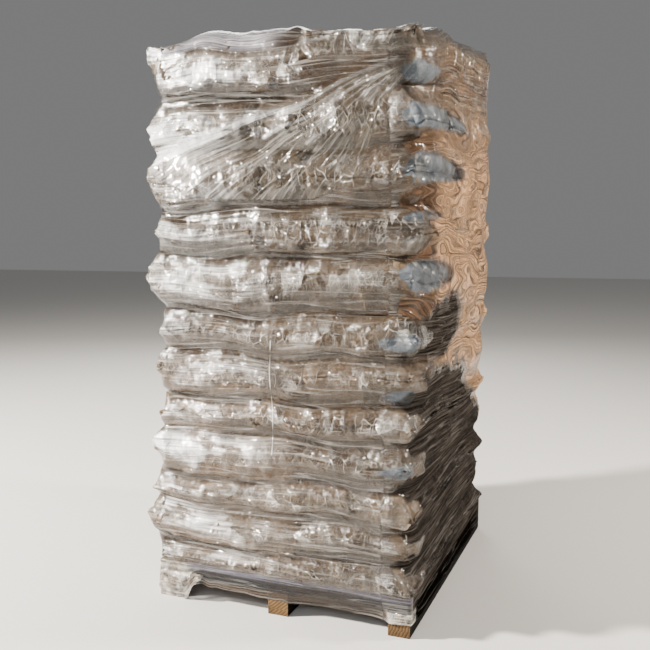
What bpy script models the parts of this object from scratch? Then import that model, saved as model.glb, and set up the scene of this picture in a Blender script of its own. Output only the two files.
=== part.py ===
"""A pallet load of filled paper sacks, stretch-wrapped to a wooden block pallet.

Metres, +Z up. The origin is the middle of the pallet's underside, at floor
level. The pallet is 1000 mm along X and 1200 mm along Y, and the side with
the three block ends faces -Y.
"""

import math

import bmesh
import bpy
import numpy as np
from mathutils import Vector
from mathutils.bvhtree import BVHTree

# Pallet: boards and blocks.
WIDTH = 1.000
DEPTH = 1.200
BOARD = 0.022
BLOCK_HIGH = 0.078
BLOCK_WIDE = 0.080
BLOCK_LONG = 0.145
DECK_BOARDS = 7
DECK_WIDE = 0.100
EDGE_CHAMFER = 0.002
GAP = 0.0003

# Sacks: each layer has a row of three across and a row of two along, and
# every other layer is turned round. Thickness from the bottom layer up.
SACK_LONG = 0.600
SACK_WIDE = 0.400
LAYERS = [0.096, 0.150, 0.115, 0.170, 0.114, 0.176, 0.140, 0.213, 0.159, 0.202, 0.191, 0.190]
SEAM_THICK = 0.010
TIP_PROUD = 0.028
FLANK_PROUD = 0.004
OVERLAP = 0.022
LEVEL_LAYERS = 8
BACK_RISE = 0.145

# Stretch film.
FILM = 0.0010
FILM_CLEAR = 0.0006
FILM_HEM = 0.062
FILM_KNOT_HEM = 0.006
FILM_FOLD_IN = 0.17
CORNER = 0.05
GROOVE = 0.032


def clear_scene():
    for thing in list(bpy.data.objects):
        bpy.data.objects.remove(thing, do_unlink=True)


def material(name, colour, roughness, metallic=0.0, alpha=1.0):
    mat = bpy.data.materials.new(name)
    mat.use_nodes = True
    shader = mat.node_tree.nodes["Principled BSDF"]
    shader.inputs["Base Color"].default_value = (*colour, 1.0)
    shader.inputs["Roughness"].default_value = roughness
    shader.inputs["Metallic"].default_value = metallic
    shader.inputs["Alpha"].default_value = alpha
    mat.diffuse_color = (*colour, alpha)
    return mat


def add_object(name, verts, faces, mat):
    mesh = bpy.data.meshes.new(name)
    mesh.from_pydata([tuple(v) for v in verts], [], faces)
    mesh.validate()
    mesh.materials.append(mat)
    thing = bpy.data.objects.new(name, mesh)
    bpy.context.scene.collection.objects.link(thing)
    return thing


def wobble(*key):
    """A repeatable value from -1 to 1 for a whole-number key."""
    mix = sum((k + 1.3) * w for k, w in zip(key, (12.9898, 78.233, 37.719)))
    return 2.0 * ((math.sin(mix) * 43758.5453) % 1.0) - 1.0


# Boards and blocks.
def timber(name, low, high, along, mat):
    """A sawn piece between two corners, its long edges chamfered."""
    low, high = np.array(low), np.array(high)
    across = [axis for axis in range(3) if axis != along]
    c = EDGE_CHAMFER
    a0, a1 = low[across[0]], high[across[0]]
    b0, b1 = low[across[1]], high[across[1]]
    ring = [(a0 + c, b0), (a1 - c, b0), (a1, b0 + c), (a1, b1 - c),
            (a1 - c, b1), (a0 + c, b1), (a0, b1 - c), (a0, b0 + c)]
    verts = []
    for end in (low[along], high[along]):
        for a, b in ring:
            point = [0.0, 0.0, 0.0]
            point[along], point[across[0]], point[across[1]] = end, a, b
            verts.append(point)
    faces = [[i, (i + 1) % 8, 8 + (i + 1) % 8, 8 + i] for i in range(8)]
    faces += [list(range(7, -1, -1)), list(range(8, 16))]
    if along == 1:
        faces = [face[::-1] for face in faces]
    return add_object(name, verts, faces, mat)


def block_columns():
    """Middle of each bottom board and block row, along X."""
    edge = WIDTH / 2 - BLOCK_WIDE / 2
    return (-edge, 0.0, edge)


def block_rows():
    edge = DEPTH / 2 - BLOCK_LONG / 2
    return (-edge, 0.0, edge)


def bottom_boards(mat):
    for x, side in zip(block_columns(), ("left", "middle", "right")):
        low = (x - BLOCK_WIDE / 2, -DEPTH / 2, 0.0)
        high = (x + BLOCK_WIDE / 2, DEPTH / 2, BOARD)
        timber("bottom_board_" + side, low, high, 1, mat)


def blocks(mat):
    z = BOARD + GAP
    for y, row in zip(block_rows(), ("front", "centre", "rear")):
        for x, side in zip(block_columns(), ("left", "middle", "right")):
            low = (x - BLOCK_WIDE / 2, y - BLOCK_LONG / 2, z)
            high = (x + BLOCK_WIDE / 2, y + BLOCK_LONG / 2, z + BLOCK_HIGH)
            timber("block_%s_%s" % (row, side), low, high, 1, mat)


def cross_boards(mat):
    z = BOARD + BLOCK_HIGH + 2 * GAP
    for y, row in zip(block_rows(), ("front", "centre", "rear")):
        low = (-WIDTH / 2, y - BLOCK_LONG / 2, z)
        high = (WIDTH / 2, y + BLOCK_LONG / 2, z + BOARD)
        timber("cross_board_" + row, low, high, 0, mat)


def deck_boards(mat):
    z = 2 * BOARD + BLOCK_HIGH + 3 * GAP
    pitch = (WIDTH - DECK_WIDE) / (DECK_BOARDS - 1)
    for n in range(DECK_BOARDS):
        x = -WIDTH / 2 + DECK_WIDE / 2 + n * pitch
        low = (x - DECK_WIDE / 2, -DEPTH / 2, z)
        high = (x + DECK_WIDE / 2, DEPTH / 2, z + BOARD)
        timber("deck_board_%d" % (n + 1), low, high, 1, mat)


def deck_top():
    return 3 * BOARD + BLOCK_HIGH + 3 * GAP


# Sacks.
def pillow(thick, tips, half_wide):
    """A lying sack along X: flat where it is pressed, round flanks, thin sewn ends."""
    x0, x1 = tips
    length = x1 - x0
    stations = [(0.0, None), (0.075, 0.62), (0.20, 1.0), (0.80, 1.0), (0.925, 0.62), (1.0, None)]
    section = [(0.68, 1.0), (1.0, 0.30), (1.0, -0.30), (0.68, -1.0),
               (-0.68, -1.0), (-1.0, -0.30), (-1.0, 0.30), (-0.68, 1.0)]
    verts = []
    for t, rise in stations:
        high = SEAM_THICK / 2 if rise is None else rise * thick / 2
        wide = half_wide * {None: 0.84, 0.62: 0.965, 1.0: 1.0}[rise]
        for across, up in section:
            verts.append((x0 + t * length, across * wide, up * high))
    n = len(section)
    faces = []
    for s in range(len(stations) - 1):
        for i in range(n):
            j = (i + 1) % n
            faces.append([s * n + i, s * n + j, (s + 1) * n + j, (s + 1) * n + i])
    last = (len(stations) - 1) * n
    faces.append(list(range(n - 1, -1, -1)))
    faces.append(list(range(last, last + n)))
    return verts, faces


def sack_places(layer):
    """Each sack's middle, turn (0 along X, 1 along Y), inner end and wobble key."""
    side = -1 if layer % 2 else 1
    three = [((0.5 * WIDTH - SACK_LONG / 2) * side, y, 0) for y in (-SACK_WIDE, 0.0, SACK_WIDE)]
    two = [(-(0.5 * WIDTH - SACK_WIDE / 2) * side, y, 1) for y in (-SACK_LONG / 2, SACK_LONG / 2)]
    return three + two


def sack_layer(layer, base, thick, mat):
    """One layer as a single solid: the grooves between its sacks are cut in by their shape."""
    parts = []
    for n, (x, y, turn) in enumerate(sack_places(layer)):
        outward = (1 if x > 0 else -1) if turn == 0 else (1 if y > 0 else -1)
        proud = TIP_PROUD + 0.010 * wobble(layer, n, 1)
        tips = [-SACK_LONG / 2 - OVERLAP, SACK_LONG / 2 + proud]
        if outward < 0:
            tips = [-SACK_LONG / 2 - proud, SACK_LONG / 2 + OVERLAP]
        verts, faces = pillow(thick, tips, SACK_WIDE / 2 + FLANK_PROUD)
        lean = math.radians(1.2) * wobble(layer, n, 2)
        angle = lean + (math.pi / 2 if turn else 0.0)
        cos, sin = math.cos(angle), math.sin(angle)
        moved = [(x + cos * u - sin * v, y + sin * u + cos * v, base + thick / 2 + w)
                 for u, v, w in verts]
        parts.append(add_object("sack_part", moved, faces, mat))
    whole = parts[0]
    whole.name = "sack_layer_%02d" % (layer + 1)
    whole.data.name = whole.name
    for other in parts[1:]:
        join(whole, other)
    fill_pockets(whole)
    return whole


def join(whole, other):
    step = whole.modifiers.new("join", "BOOLEAN")
    step.operation = "UNION"
    step.solver = "EXACT"
    step.object = other
    depsgraph = bpy.context.evaluated_depsgraph_get()
    mesh = bpy.data.meshes.new_from_object(whole.evaluated_get(depsgraph))
    whole.modifiers.clear()
    old = whole.data
    mesh.name = whole.name
    whole.data = mesh
    bpy.data.meshes.remove(old)
    bpy.data.objects.remove(other, do_unlink=True)


def fill_pockets(thing):
    """Fills any pocket closed in between three sacks, by taking its own shell away."""
    shell = bmesh.new()
    shell.from_mesh(thing.data)
    shell.verts.ensure_lookup_table()
    seen, islands = set(), []
    for first in shell.verts:
        if first in seen:
            continue
        island, todo = [], [first]
        seen.add(first)
        while todo:
            vert = todo.pop()
            island.append(vert)
            for edge in vert.link_edges:
                other = edge.other_vert(vert)
                if other not in seen:
                    seen.add(other)
                    todo.append(other)
        islands.append(island)
    islands.sort(key=len)
    for island in islands[:-1]:
        bmesh.ops.delete(shell, geom=island, context="VERTS")
    shell.to_mesh(thing.data)
    shell.free()


def raise_back(thing):
    """Above the level layers the sacks are fuller towards the back, and the load slopes up."""
    level = deck_top() + sum(LAYERS[:LEVEL_LAYERS]) + GAP * LEVEL_LAYERS + GAP / 2
    top = deck_top() + sum(LAYERS) + GAP * len(LAYERS)
    for vert in thing.data.vertices:
        x, y, z = vert.co
        share = min(1.0, max(0.0, (z - level) / (top - level)))
        vert.co.z = z + BACK_RISE * share * (y + DEPTH / 2) / DEPTH


# Stretch film.
def tree_of(things):
    verts, faces = [], []
    for thing in things:
        start = len(verts)
        verts += [thing.matrix_world @ v.co for v in thing.data.vertices]
        faces += [[start + i for i in p.vertices] for p in thing.data.polygons]
    return BVHTree.FromPolygons(verts, faces)


def outline():
    """Points and outward directions round the load, in plan, anticlockwise."""
    hx, hy, r = WIDTH / 2, DEPTH / 2, CORNER
    spots = []
    for sx, sy, start in ((1, -1, -90), (1, 1, 0), (-1, 1, 90), (-1, -1, 180)):
        for turn in (0, 45, 90):
            angle = math.radians(start + turn)
            normal = (math.cos(angle), math.sin(angle))
            spots.append((sx * (hx - r) + r * normal[0], sy * (hy - r) + r * normal[1], *normal))
    ring = []
    for n, spot in enumerate(spots):
        ring.append(spot)
        if n % 3 != 2:
            continue
        after = spots[(n + 1) % len(spots)]
        steps = 7 if abs(spot[2]) > 0.5 else 6
        for k in range(1, steps):
            t = k / steps
            ring.append(tuple(a + t * (b - a) for a, b in zip(spot, after)))
    return ring


def film_stations():
    """Height, inset of the base line and upward tilt of each course of the film."""
    rows = [(FILM_HEM, 0.10, 0), (0.100, 0.10, 0), (deck_top(), 0.10, 0)]
    z = deck_top() + GAP
    for n, thick in enumerate(LAYERS):
        rows.append((z + thick / 2, 0.10, 0))
        if n < len(LAYERS) - 1:
            rows.append((z + thick + GAP / 2, 0.10, 0))
        z += thick + GAP
    top = z - GAP
    for inset, tilt in ((0.10, 25), (0.10, 55), (0.12, 85), (FILM_FOLD_IN, 90)):
        rows.append((top - 0.06, inset, tilt))
    return rows


def film(things, mat):
    tree = tree_of(things)
    ring, rows = outline(), film_stations()
    across, tall = len(ring), len(rows)
    base = np.zeros((tall, across, 3))
    way = np.zeros((tall, across, 3))
    least = np.zeros((tall, across))
    plain = np.zeros((tall, across))
    for j, (z, inset, tilt) in enumerate(rows):
        rise, out = math.sin(math.radians(tilt)), math.cos(math.radians(tilt))
        for i, (x, y, nx, ny) in enumerate(ring):
            z_here = z
            if j == 0:
                near = max(0.0, 1.0 - math.hypot(x + WIDTH / 2, y + DEPTH / 2) / 0.16)
                z_here = z + (FILM_KNOT_HEM - z) * min(1.0, 2.0 * near)
            base[j, i] = (x - nx * inset, y - ny * inset, z_here)
            way[j, i] = (nx * out, ny * out, rise)
            start = Vector(base[j, i] + way[j, i])
            hit = tree.ray_cast(start, Vector(-way[j, i]), 1.0 - 0.02)
            least[j, i] = 1.0 - hit[3] if hit[0] is not None else 0.02
            plain[j, i] = box_exit(base[j, i], way[j, i], deck_top() + GAP * 12 + sum(LAYERS))
    corner = [i for i, spot in enumerate(ring) if abs(spot[2] * spot[3]) > 0.1]
    reach = settle(least, plain, corner)
    corners = []
    for j in range(tall - 1):
        for i in range(across):
            k = (i + 1) % across
            corners.append(((j, i), (j, k), (j + 1, k)))
            corners.append(((j, i), (j + 1, k), (j + 1, i)))
    points = edge_points(things)
    for _ in range(3):
        lift_clear(tree, base, way, reach, corners)
        lift_over_edges(points, base, way, reach, corners)
    build_film(base, way, reach, corners, mat)


def box_exit(start, way, top):
    """Distance from a point in the load's plain box to where a line leaves it."""
    limits = (WIDTH / 2, DEPTH / 2, top)
    outs = [(limit * (1 if w > 0 else -1) - s) / w if k < 2 else (limit - s) / w
            for k, (s, w, limit) in enumerate(zip(start, way, limits)) if abs(w) > 1e-6
            and not (k == 2 and w <= 0)]
    return min(outs)


def settle(least, plain, corner):
    """The wrapped film: just clear of what it goes round, and drawn part way into each groove."""
    proud = least - plain
    wider = np.max([np.roll(proud, k, axis=1) for k in (-1, 0, 1)], axis=0)
    wider[:, corner] = proud[:, corner]
    tall = len(wider)
    first, last = 3, 3 + 2 * len(LAYERS) - 2
    drawn = wider.copy()
    for j in range(tall):
        if j < first:
            drawn[j] = np.maximum(wider[j], 0.0)
        elif j > last:
            drawn[j] = np.maximum(wider[j], -0.045)
        elif (j - first) % 2:
            drawn[j] = np.maximum(wider[j], np.minimum(wider[j - 1], wider[j + 1]) - GROOVE)
    return plain + drawn + FILM_CLEAR


def shares(point, a, b, c):
    """Weights of a facet's three corners at a point on it."""
    u, v, w = b - a, c - a, point - a
    uu, uv, vv, wu, wv = u.dot(u), u.dot(v), v.dot(v), w.dot(u), w.dot(v)
    low = uu * vv - uv * uv
    if low < 1e-18:
        return (1 / 3, 1 / 3, 1 / 3)
    s, t = (vv * wu - uv * wv) / low, (uu * wv - uv * wu) / low
    return tuple(min(1.0, max(0.0, k)) for k in (1 - s - t, s, t))


def spread(lift, corners, weights, need):
    """Asks for the least rise of a facet's corners that lifts one point on it by need."""
    total = sum(w * w for w in weights)
    for corner, weight in zip(corners, weights):
        lift[corner] = max(lift[corner], need * weight / total)


def lift_clear(tree, base, way, reach, corners):
    """Raises the film wherever one of its flat facets would cut into a sack."""
    parts = 5
    mix = [(a / parts, b / parts, (parts - a - b) / parts)
           for a in range(parts + 1) for b in range(parts + 1 - a)]
    for _ in range(8):
        place = base + way * reach[..., None]
        lift = np.zeros_like(reach)
        for three in corners:
            p = [Vector(place[c]) for c in three]
            for w in mix:
                spot = w[0] * p[0] + w[1] * p[1] + w[2] * p[2]
                found, normal, _, _ = tree.find_nearest(spot)
                away = spot - found
                inside = away.dot(normal) < -0.5 * away.length
                signed = -away.length if inside else away.length
                if signed < FILM_CLEAR - 0.0001:
                    spread(lift, three, w, FILM_CLEAR - signed + 0.00005)
        if not lift.any():
            break
        reach += lift


def edge_points(things):
    """Points along every edge of the pieces under the film."""
    points = []
    for thing in things:
        spots = [thing.matrix_world @ v.co for v in thing.data.vertices]
        for edge in thing.data.edges:
            a, b = (spots[n] for n in edge.vertices)
            count = max(2, int((b - a).length / 0.008))
            points += [a.lerp(b, k / count) for k in range(count + 1)]
    near = 0.08
    return [p for p in points if abs(p.x) > WIDTH / 2 - near or abs(p.y) > DEPTH / 2 - near
            or p.z > deck_top() + sum(LAYERS) - near]


def lift_over_edges(points, base, way, reach, corners):
    """Raises the film where an edge of a sack or board would come through a facet."""
    tall, across = reach.shape
    index = [[j * across + i for j, i in three] for three in corners]
    for _ in range(8):
        place = [Vector(v) for v in (base + way * reach[..., None]).reshape(-1, 3)]
        skin = BVHTree.FromPolygons(place, index)
        lift = np.zeros(tall * across)
        for point in points:
            found, normal, facet, distance = skin.find_nearest(point, 0.015)
            if found is None:
                continue
            beyond = (point - found).dot(normal)
            if abs(beyond) < 0.7 * distance:
                continue
            signed = math.copysign(distance, beyond)
            if signed > -FILM_CLEAR + 0.0001:
                weights = shares(found, *(place[n] for n in index[facet]))
                spread(lift, index[facet], weights, signed + FILM_CLEAR + 0.00005)
        if not lift.any():
            break
        reach += lift.reshape(tall, across)


def build_film(base, way, reach, corners, mat):
    tall, across = reach.shape
    inner = (base + way * reach[..., None]).reshape(-1, 3)
    outer = (base + way * (reach + FILM)[..., None]).reshape(-1, 3)
    count = tall * across
    faces = []
    for three in corners:
        index = [j * across + i for j, i in three]
        faces.append([count + n for n in index])
        faces.append(index[::-1])
    for i in range(across):
        k = (i + 1) % across
        top = (tall - 1) * across
        faces.append([i, k, count + k, count + i])
        faces.append([count + top + i, count + top + k, top + k, top + i])
    add_object("stretch_film", np.vstack([inner, outer]), faces, mat)


def main():
    clear_scene()
    wood = material("pallet_wood", (0.42, 0.27, 0.14), 0.85)
    paper = material("kraft_paper", (0.36, 0.27, 0.17), 0.75)
    wrap = material("stretch_wrap", (0.62, 0.60, 0.55), 0.15, alpha=0.35)
    bottom_boards(wood)
    blocks(wood)
    cross_boards(wood)
    deck_boards(wood)
    base = deck_top() + GAP
    for layer, thick in enumerate(LAYERS):
        sack_layer(layer, base, thick, paper)
        base += thick + GAP
    bpy.context.view_layer.update()
    film([thing for thing in bpy.data.objects if thing.type == "MESH"], wrap)
    for thing in bpy.data.objects:
        if thing.name.startswith(("sack_layer", "stretch_film")):
            raise_back(thing)


main()
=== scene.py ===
# %% [markdown]
# # A pallet of sacks in stretch film
# Sixty brown paper sacks lie in twelve interlocking layers on a wooden block pallet, and many
# turns of clear stretch film hold them. This lesson dresses the measured CAD frame. It blows up
# the sacks in code, draws a film tight over them, and gives wood, paper and film the finish
# that their making gives them.

# %% Load the frame
import math
import time
from collections import namedtuple

import bpy
import numpy as np
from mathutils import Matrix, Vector
from mathutils.bvhtree import BVHTree


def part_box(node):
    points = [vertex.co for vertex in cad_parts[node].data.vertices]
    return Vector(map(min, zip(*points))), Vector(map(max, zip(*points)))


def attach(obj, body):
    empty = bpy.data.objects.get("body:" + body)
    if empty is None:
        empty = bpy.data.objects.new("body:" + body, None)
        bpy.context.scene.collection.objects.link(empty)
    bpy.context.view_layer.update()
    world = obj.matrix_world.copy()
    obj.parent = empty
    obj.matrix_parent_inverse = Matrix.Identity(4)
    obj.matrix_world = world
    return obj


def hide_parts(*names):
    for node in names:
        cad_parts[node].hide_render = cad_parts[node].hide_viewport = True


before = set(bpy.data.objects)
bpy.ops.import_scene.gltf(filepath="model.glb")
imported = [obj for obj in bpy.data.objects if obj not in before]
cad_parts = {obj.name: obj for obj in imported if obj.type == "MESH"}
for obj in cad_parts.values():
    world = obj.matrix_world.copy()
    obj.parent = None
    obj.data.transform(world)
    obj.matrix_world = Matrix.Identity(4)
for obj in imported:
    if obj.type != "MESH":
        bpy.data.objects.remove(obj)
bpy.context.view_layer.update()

started = time.time()

# %% [markdown]
# ## Colours and shader nodes
# Colours are picked as sRGB hex values, as a paint chart gives them, and the renderer works in
# linear light, so one function turns them. A second one adds a shader node of any kind with its
# settings and links, which keeps each finish short enough to read. A third starts a finish.

# %% Helpers for finishes
def linear(hex_colour):
    """An sRGB hex colour as linear red, green, blue and 1."""
    parts = [int(hex_colour[k:k + 2], 16) / 255 for k in (1, 3, 5)]
    return (*[p / 12.92 if p <= 0.04045 else ((p + 0.055) / 1.055) ** 2.4 for p in parts], 1.0)


def add(tree, kind, *inputs, at=None, stops=(), settings=None, out=0, **named):
    """Adds a shader node and gives one of its outputs.

    kind may end in an operation, as in "Math ADD". Inputs come in order, by number in at, or by
    name. stops are the places and hex colours of a colour ramp with three or more.
    """
    kind, *operation = kind.split()
    made = tree.nodes.new("ShaderNode" + kind)
    if operation:
        made.operation = operation[0]
    for name, value in (settings or {}).items():
        setattr(made, name, value)
    places = list(enumerate(inputs)) + list((at or {}).items())
    places += [(name.replace("_", " "), value) for name, value in named.items()]
    for place, value in places:
        if isinstance(value, bpy.types.NodeSocket):
            tree.links.new(value, made.inputs[place])
        else:
            made.inputs[place].default_value = value
    for _ in stops[2:]:
        made.color_ramp.elements.new(0.5)
    for number, (place, shade) in enumerate(stops):
        made.color_ramp.elements[number].position = place
        made.color_ramp.elements[number].color = linear(shade)
    return made.outputs[out]


def finish(name, colour, roughness):
    """A new material with its node tree and its Principled shader."""
    made = bpy.data.materials.new(name)
    made.use_nodes = True
    shader = made.node_tree.nodes["Principled BSDF"]
    shader.inputs["Base Color"].default_value = linear(colour)
    shader.inputs["Roughness"].default_value = roughness
    return made, made.node_tree, shader


print("kraft brown in linear light:", [round(v, 3) for v in linear("#a98c66")])

# %% [markdown]
# ## Smooth noise
# Nothing in a stack of sacks is quite regular. A random number for each point of a lattice,
# joined smoothly, gives slow unevenness. The numbers are worked out from the place, so a place
# gets the same one however many points are asked for.

# %% Noise functions
def chance(i, j, seed, wrap=None):
    """A repeatable number from -1 to 1 for each lattice point; wrap joins j's two ends."""
    if wrap is not None:
        j = np.mod(j, wrap)
    mix = np.sin(i * 12.9898 + j * 78.233 + seed * 37.719) * 43758.5453
    return 2 * (mix - np.floor(mix)) - 1


def corners(u, v, seed, wrap):
    """Place in the lattice cell, the numbers at its corners, and which way it is split."""
    i, j = np.floor(u), np.floor(v)
    spots = [chance(i + di, j + dj, seed, wrap) for di, dj in ((0, 0), (1, 0), (0, 1), (1, 1))]
    return u - i, v - j, spots, chance(i, j, seed + 5.5, wrap) > 0


def soft_noise(u, v, seed, wrap=None):
    """Smooth hills about one unit across, with heights from -1 to 1."""
    a, b, (p, q, r, s), _ = corners(u, v, seed, wrap)
    a, b = a * a * (3 - 2 * a), b * b * (3 - 2 * b)
    return (p + a * (q - p)) * (1 - b) + (r + a * (s - r)) * b


def ease(value, low, high):
    """A smooth step from 0 at low to 1 at high."""
    t = np.clip((value - low) / (high - low), 0, 1)
    return t * t * (3 - 2 * t)


print("noise sample", np.round(soft_noise(np.linspace(0, 2, 5), np.full(5, 0.3), 1), 2))

# %% [markdown]
# ## Creases
# Crumpled paper and film are flat facets that meet at sharp creases. Random heights on a
# lattice of triangles, joined by flat facets, give just that, where a smooth noise gives only
# soft dents. The lattice is bent first by the smooth noise, so that no row of it shows.

# %% The crease function
def creases(u, v, seed, wrap=None, bend=0.45):
    """Facets about one unit across, with heights from -1 to 1."""
    side = soft_noise(u * 0.8 + 9, v, seed + 1, wrap)
    rise = soft_noise(u * 0.8, v, seed + 2, wrap)
    a, b, (p, q, r, s), turned = corners(u + bend * side, v + bend * rise, seed, wrap)
    one = np.where(a > b, p + a * (q - p) + b * (s - q), p + b * (r - p) + a * (s - r))
    near, far = p + a * (q - p) + b * (r - p), s + (1 - a) * (r - s) + (1 - b) * (q - s)
    return np.where(turned, np.where(a + b < 1, near, far), one)


print("crease sample", np.round(creases(np.linspace(0, 2, 5), np.full(5, 0.3), 1), 2))

# %% [markdown]
# ## The pattern of the stack
# Five sacks of 600 x 400 mm cover the 1000 x 1200 mm pallet. Three lie across it and two along
# it, and every other layer is turned round, so that each sack ties those below. All could be
# copies of one sack, but each layer is pressed to its own height, so each has its own place here
# and is filled on its own.

# %% Where the sacks lie
# The layers' heights in metres from the bottom up, as in the CAD frame.
LAYERS = [0.096, 0.150, 0.115, 0.170, 0.114, 0.176, 0.140, 0.213, 0.159, 0.202, 0.191, 0.190]
GAP = 0.0003
WIDTH, DEPTH = 1.0, 1.2
SACK_LONG, SACK_WIDE = 0.6, 0.4
DECK_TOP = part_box("deck_board_1")[1].z
LOAD_TOP = DECK_TOP + sum(LAYERS) + GAP * len(LAYERS)
Place = namedtuple("Place", "layer number middle turn free")


def sack_places():
    """Each sack's place: its turn points the outer end out, and free names its free flanks."""
    places, base = [], DECK_TOP + GAP
    for layer, thick in enumerate(LAYERS):
        side = -1 if layer % 2 else 1
        z = base + thick / 2
        x = side * (WIDTH - SACK_LONG) / 2
        for n in (-1, 0, 1):
            free = (n * side < 0, n * side > 0)
            turn = 0 if side > 0 else math.pi
            places.append(Place(layer, n + 2, (x, SACK_WIDE * n, z), turn, free))
        x = -side * (WIDTH - SACK_WIDE) / 2
        for n in (-1, 1):
            free = (side * n > 0, side * n < 0)
            number = 4 if n < 0 else 5
            places.append(Place(layer, number, (x, SACK_LONG / 2 * n, z), n * math.pi / 2, free))
        base += thick + GAP
    return places


PLACES = sack_places()
THICK = np.array([LAYERS[place.layer] for place in PLACES])
FREE = np.array([place.free for place in PLACES])
print(len(PLACES), "sacks, top at", round(LOAD_TOP, 3), "m")

# %% [markdown]
# ## The empty paper tube
# A paper sack is a flat tube with both ends sewn flat. Its mesh starts as that tube, a little
# domed, with small random dents where folds can start. Its girth and length are a few
# centimetres more than a neat filled sack needs, because real sacks are never quite full, and
# the spare paper is what crumples.

# %% Lay out the tubes
ALONG, ROUND = 46, 60
GIRTH = 2 * (0.405 - THICK) + math.pi * THICK + 0.016
LENGTH = 0.565 + 0.40 * THICK + 0.03
DENTS = 0.0018
FACE_SIDE = np.where(np.arange(ROUND) < ROUND // 2, 1.0, -1.0)
FACE_SIDE[[0, ROUND // 2]] = 0


def per_sack(values):
    """One value for each sack, in the shape that goes with its grid of points."""
    return np.asarray(values)[:, None, None]


def flat_tubes():
    """The tubes before they are filled, lying along x."""
    rng = np.random.default_rng(11)
    along = np.linspace(-1, 1, ALONG)[None, :, None]
    across = np.abs(np.arange(ROUND) / ROUND * 2 - 1) * 2 - 1
    dome = (1 - np.abs(along) ** 3) * (1 - np.abs(across) ** 3)
    points = np.zeros((len(THICK), ALONG, ROUND, 3), np.float32)
    points[..., 0] = along * per_sack(LENGTH / 2)
    points[..., 1] = across * per_sack(GIRTH / 4)
    points[..., 2] = FACE_SIDE * (0.004 + 0.35 * per_sack(THICK) * dome)
    points += rng.normal(0, DENTS, points.shape)
    return points


print("paper tubes", round(float(GIRTH.min()), 3), "to", round(float(GIRTH.max()), 3), "m round")

# %% [markdown]
# ## Paper that can't stretch
# What gives a filled sack its look is that paper bends but doesn't stretch. Blender's Cloth
# with pressure can do that for a few sacks, but sixty would take too long here. So the same idea
# is written out for all of them at once: each link of the mesh pulls its two ends until it has
# its own length again. A push is weaker than a pull, since pressed paper buckles.

# %% Pull the links of the paper
def pull(a, b, rest, long, short):
    """How linked points move towards their rest length: long for a pull, short for a push."""
    gap = b - a
    far = np.sqrt((gap * gap).sum(-1)) + 1e-9
    off = (far - rest) / far
    off = np.where(off > 0, off * long, off * short) * 0.5
    return gap * off[..., None].astype(np.float32)


def even_links(points, step_along, step_round):
    """One round of pulls along each tube, round it, and slantwise both ways."""
    slant = np.sqrt(step_along ** 2 + step_round ** 2)
    move = np.zeros_like(points)
    after = np.roll(points, -1, 2)
    c = pull(points[:, :-1], points[:, 1:], step_along, 1.0, 0.25)
    move[:, :-1] += c
    move[:, 1:] -= c
    c = pull(points, after, step_round, 1.0, 0.25)
    move += c - np.roll(c, 1, 2)
    c = pull(points[:, :-1], after[:, 1:], slant, 0.45, 0.12)
    move[:, :-1] += c
    move[:, 1:] -= np.roll(c, 1, 2)
    c = pull(after[:, :-1], points[:, 1:], slant, 0.45, 0.12)
    move[:, 1:] -= c
    move[:, :-1] += np.roll(c, 1, 2)
    return points + move * 0.5


link = pull(np.float32([[0, 0, 0]]), np.float32([[0.012, 0, 0]]), 0.010, 1.0, 0.25)
print("a link 2 mm too long moves each end by", round(float(link[0, 0]) * 1000, 2), "mm")

# %% [markdown]
# ## Filling the sacks
# Pressure pushes every point outwards, the links pull it back, and the room in the stack stops
# it: the layers above and below, the neighbours, and at the outer end and the free flanks only
# the film. The first and last rows stay sewn, so their two faces are held together.

# %% Blow up the sacks
SEWN_ROWS = (0, 1, ALONG - 2, ALONG - 1)
MIRROR = (-np.arange(ROUND)) % ROUND
TIP_REACH, INNER_REACH = 0.316, 0.303
FLANK_REACH, TOUCH_REACH = 0.214, 0.203
CLEAR = 0.0004
PUSH = np.float32(0.0009)
FILL_STEPS = 40


def outward(points):
    """The unit normals of the tubes' points."""
    crosswise = np.roll(points, -1, 2) - np.roll(points, 1, 2)
    out = np.cross(crosswise, np.gradient(points, axis=1))
    return out / (np.sqrt((out * out).sum(-1, keepdims=True)) + 1e-9)


def hold(points, low, high, half):
    """Keeps the ends sewn and each sack in its room."""
    for row in SEWN_ROWS:
        points[:, row] = 0.5 * (points[:, row] + points[:, row][:, MIRROR])
    points[..., 2] = np.clip(points[..., 2], -half, half)
    points[..., 1] = np.clip(points[..., 1], low, high)
    points[..., 0] = np.clip(points[..., 0], -INNER_REACH, TIP_REACH)
    return points


def fill_sacks(steps):
    """Blows up all the sacks at once and gives their points, outer ends along +x."""
    step_along, step_round = per_sack(LENGTH / (ALONG - 1)), per_sack(GIRTH / ROUND)
    low = per_sack(np.where(FREE[:, 0], -FLANK_REACH, -TOUCH_REACH))
    high = per_sack(np.where(FREE[:, 1], FLANK_REACH, TOUCH_REACH))
    half = per_sack(THICK / 2 - CLEAR)
    points = flat_tubes()
    speed = np.zeros_like(points)
    for _ in range(steps):
        before = points.copy()
        points = points + speed * 0.9 + outward(points) * PUSH
        for _ in range(3):
            points = hold(even_links(points, step_along, step_round), low, high, half)
        speed = (points - before) * 0.9
    return points


sack_points = fill_sacks(FILL_STEPS)
print("filled", len(sack_points), "sacks in", round(time.time() - started, 1), "s")

# %% [markdown]
# ## The sewn end
# Towards the sewn end the filling thins out, and the sack is a wedge there, whose tip lies
# higher or lower than its middle, as its neighbours press it. Just before the tip the sack is at
# its fullest. A filling of loose grains would show this by itself, but moving the points up or
# down by their distance from the end gives the same outline at once.

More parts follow.
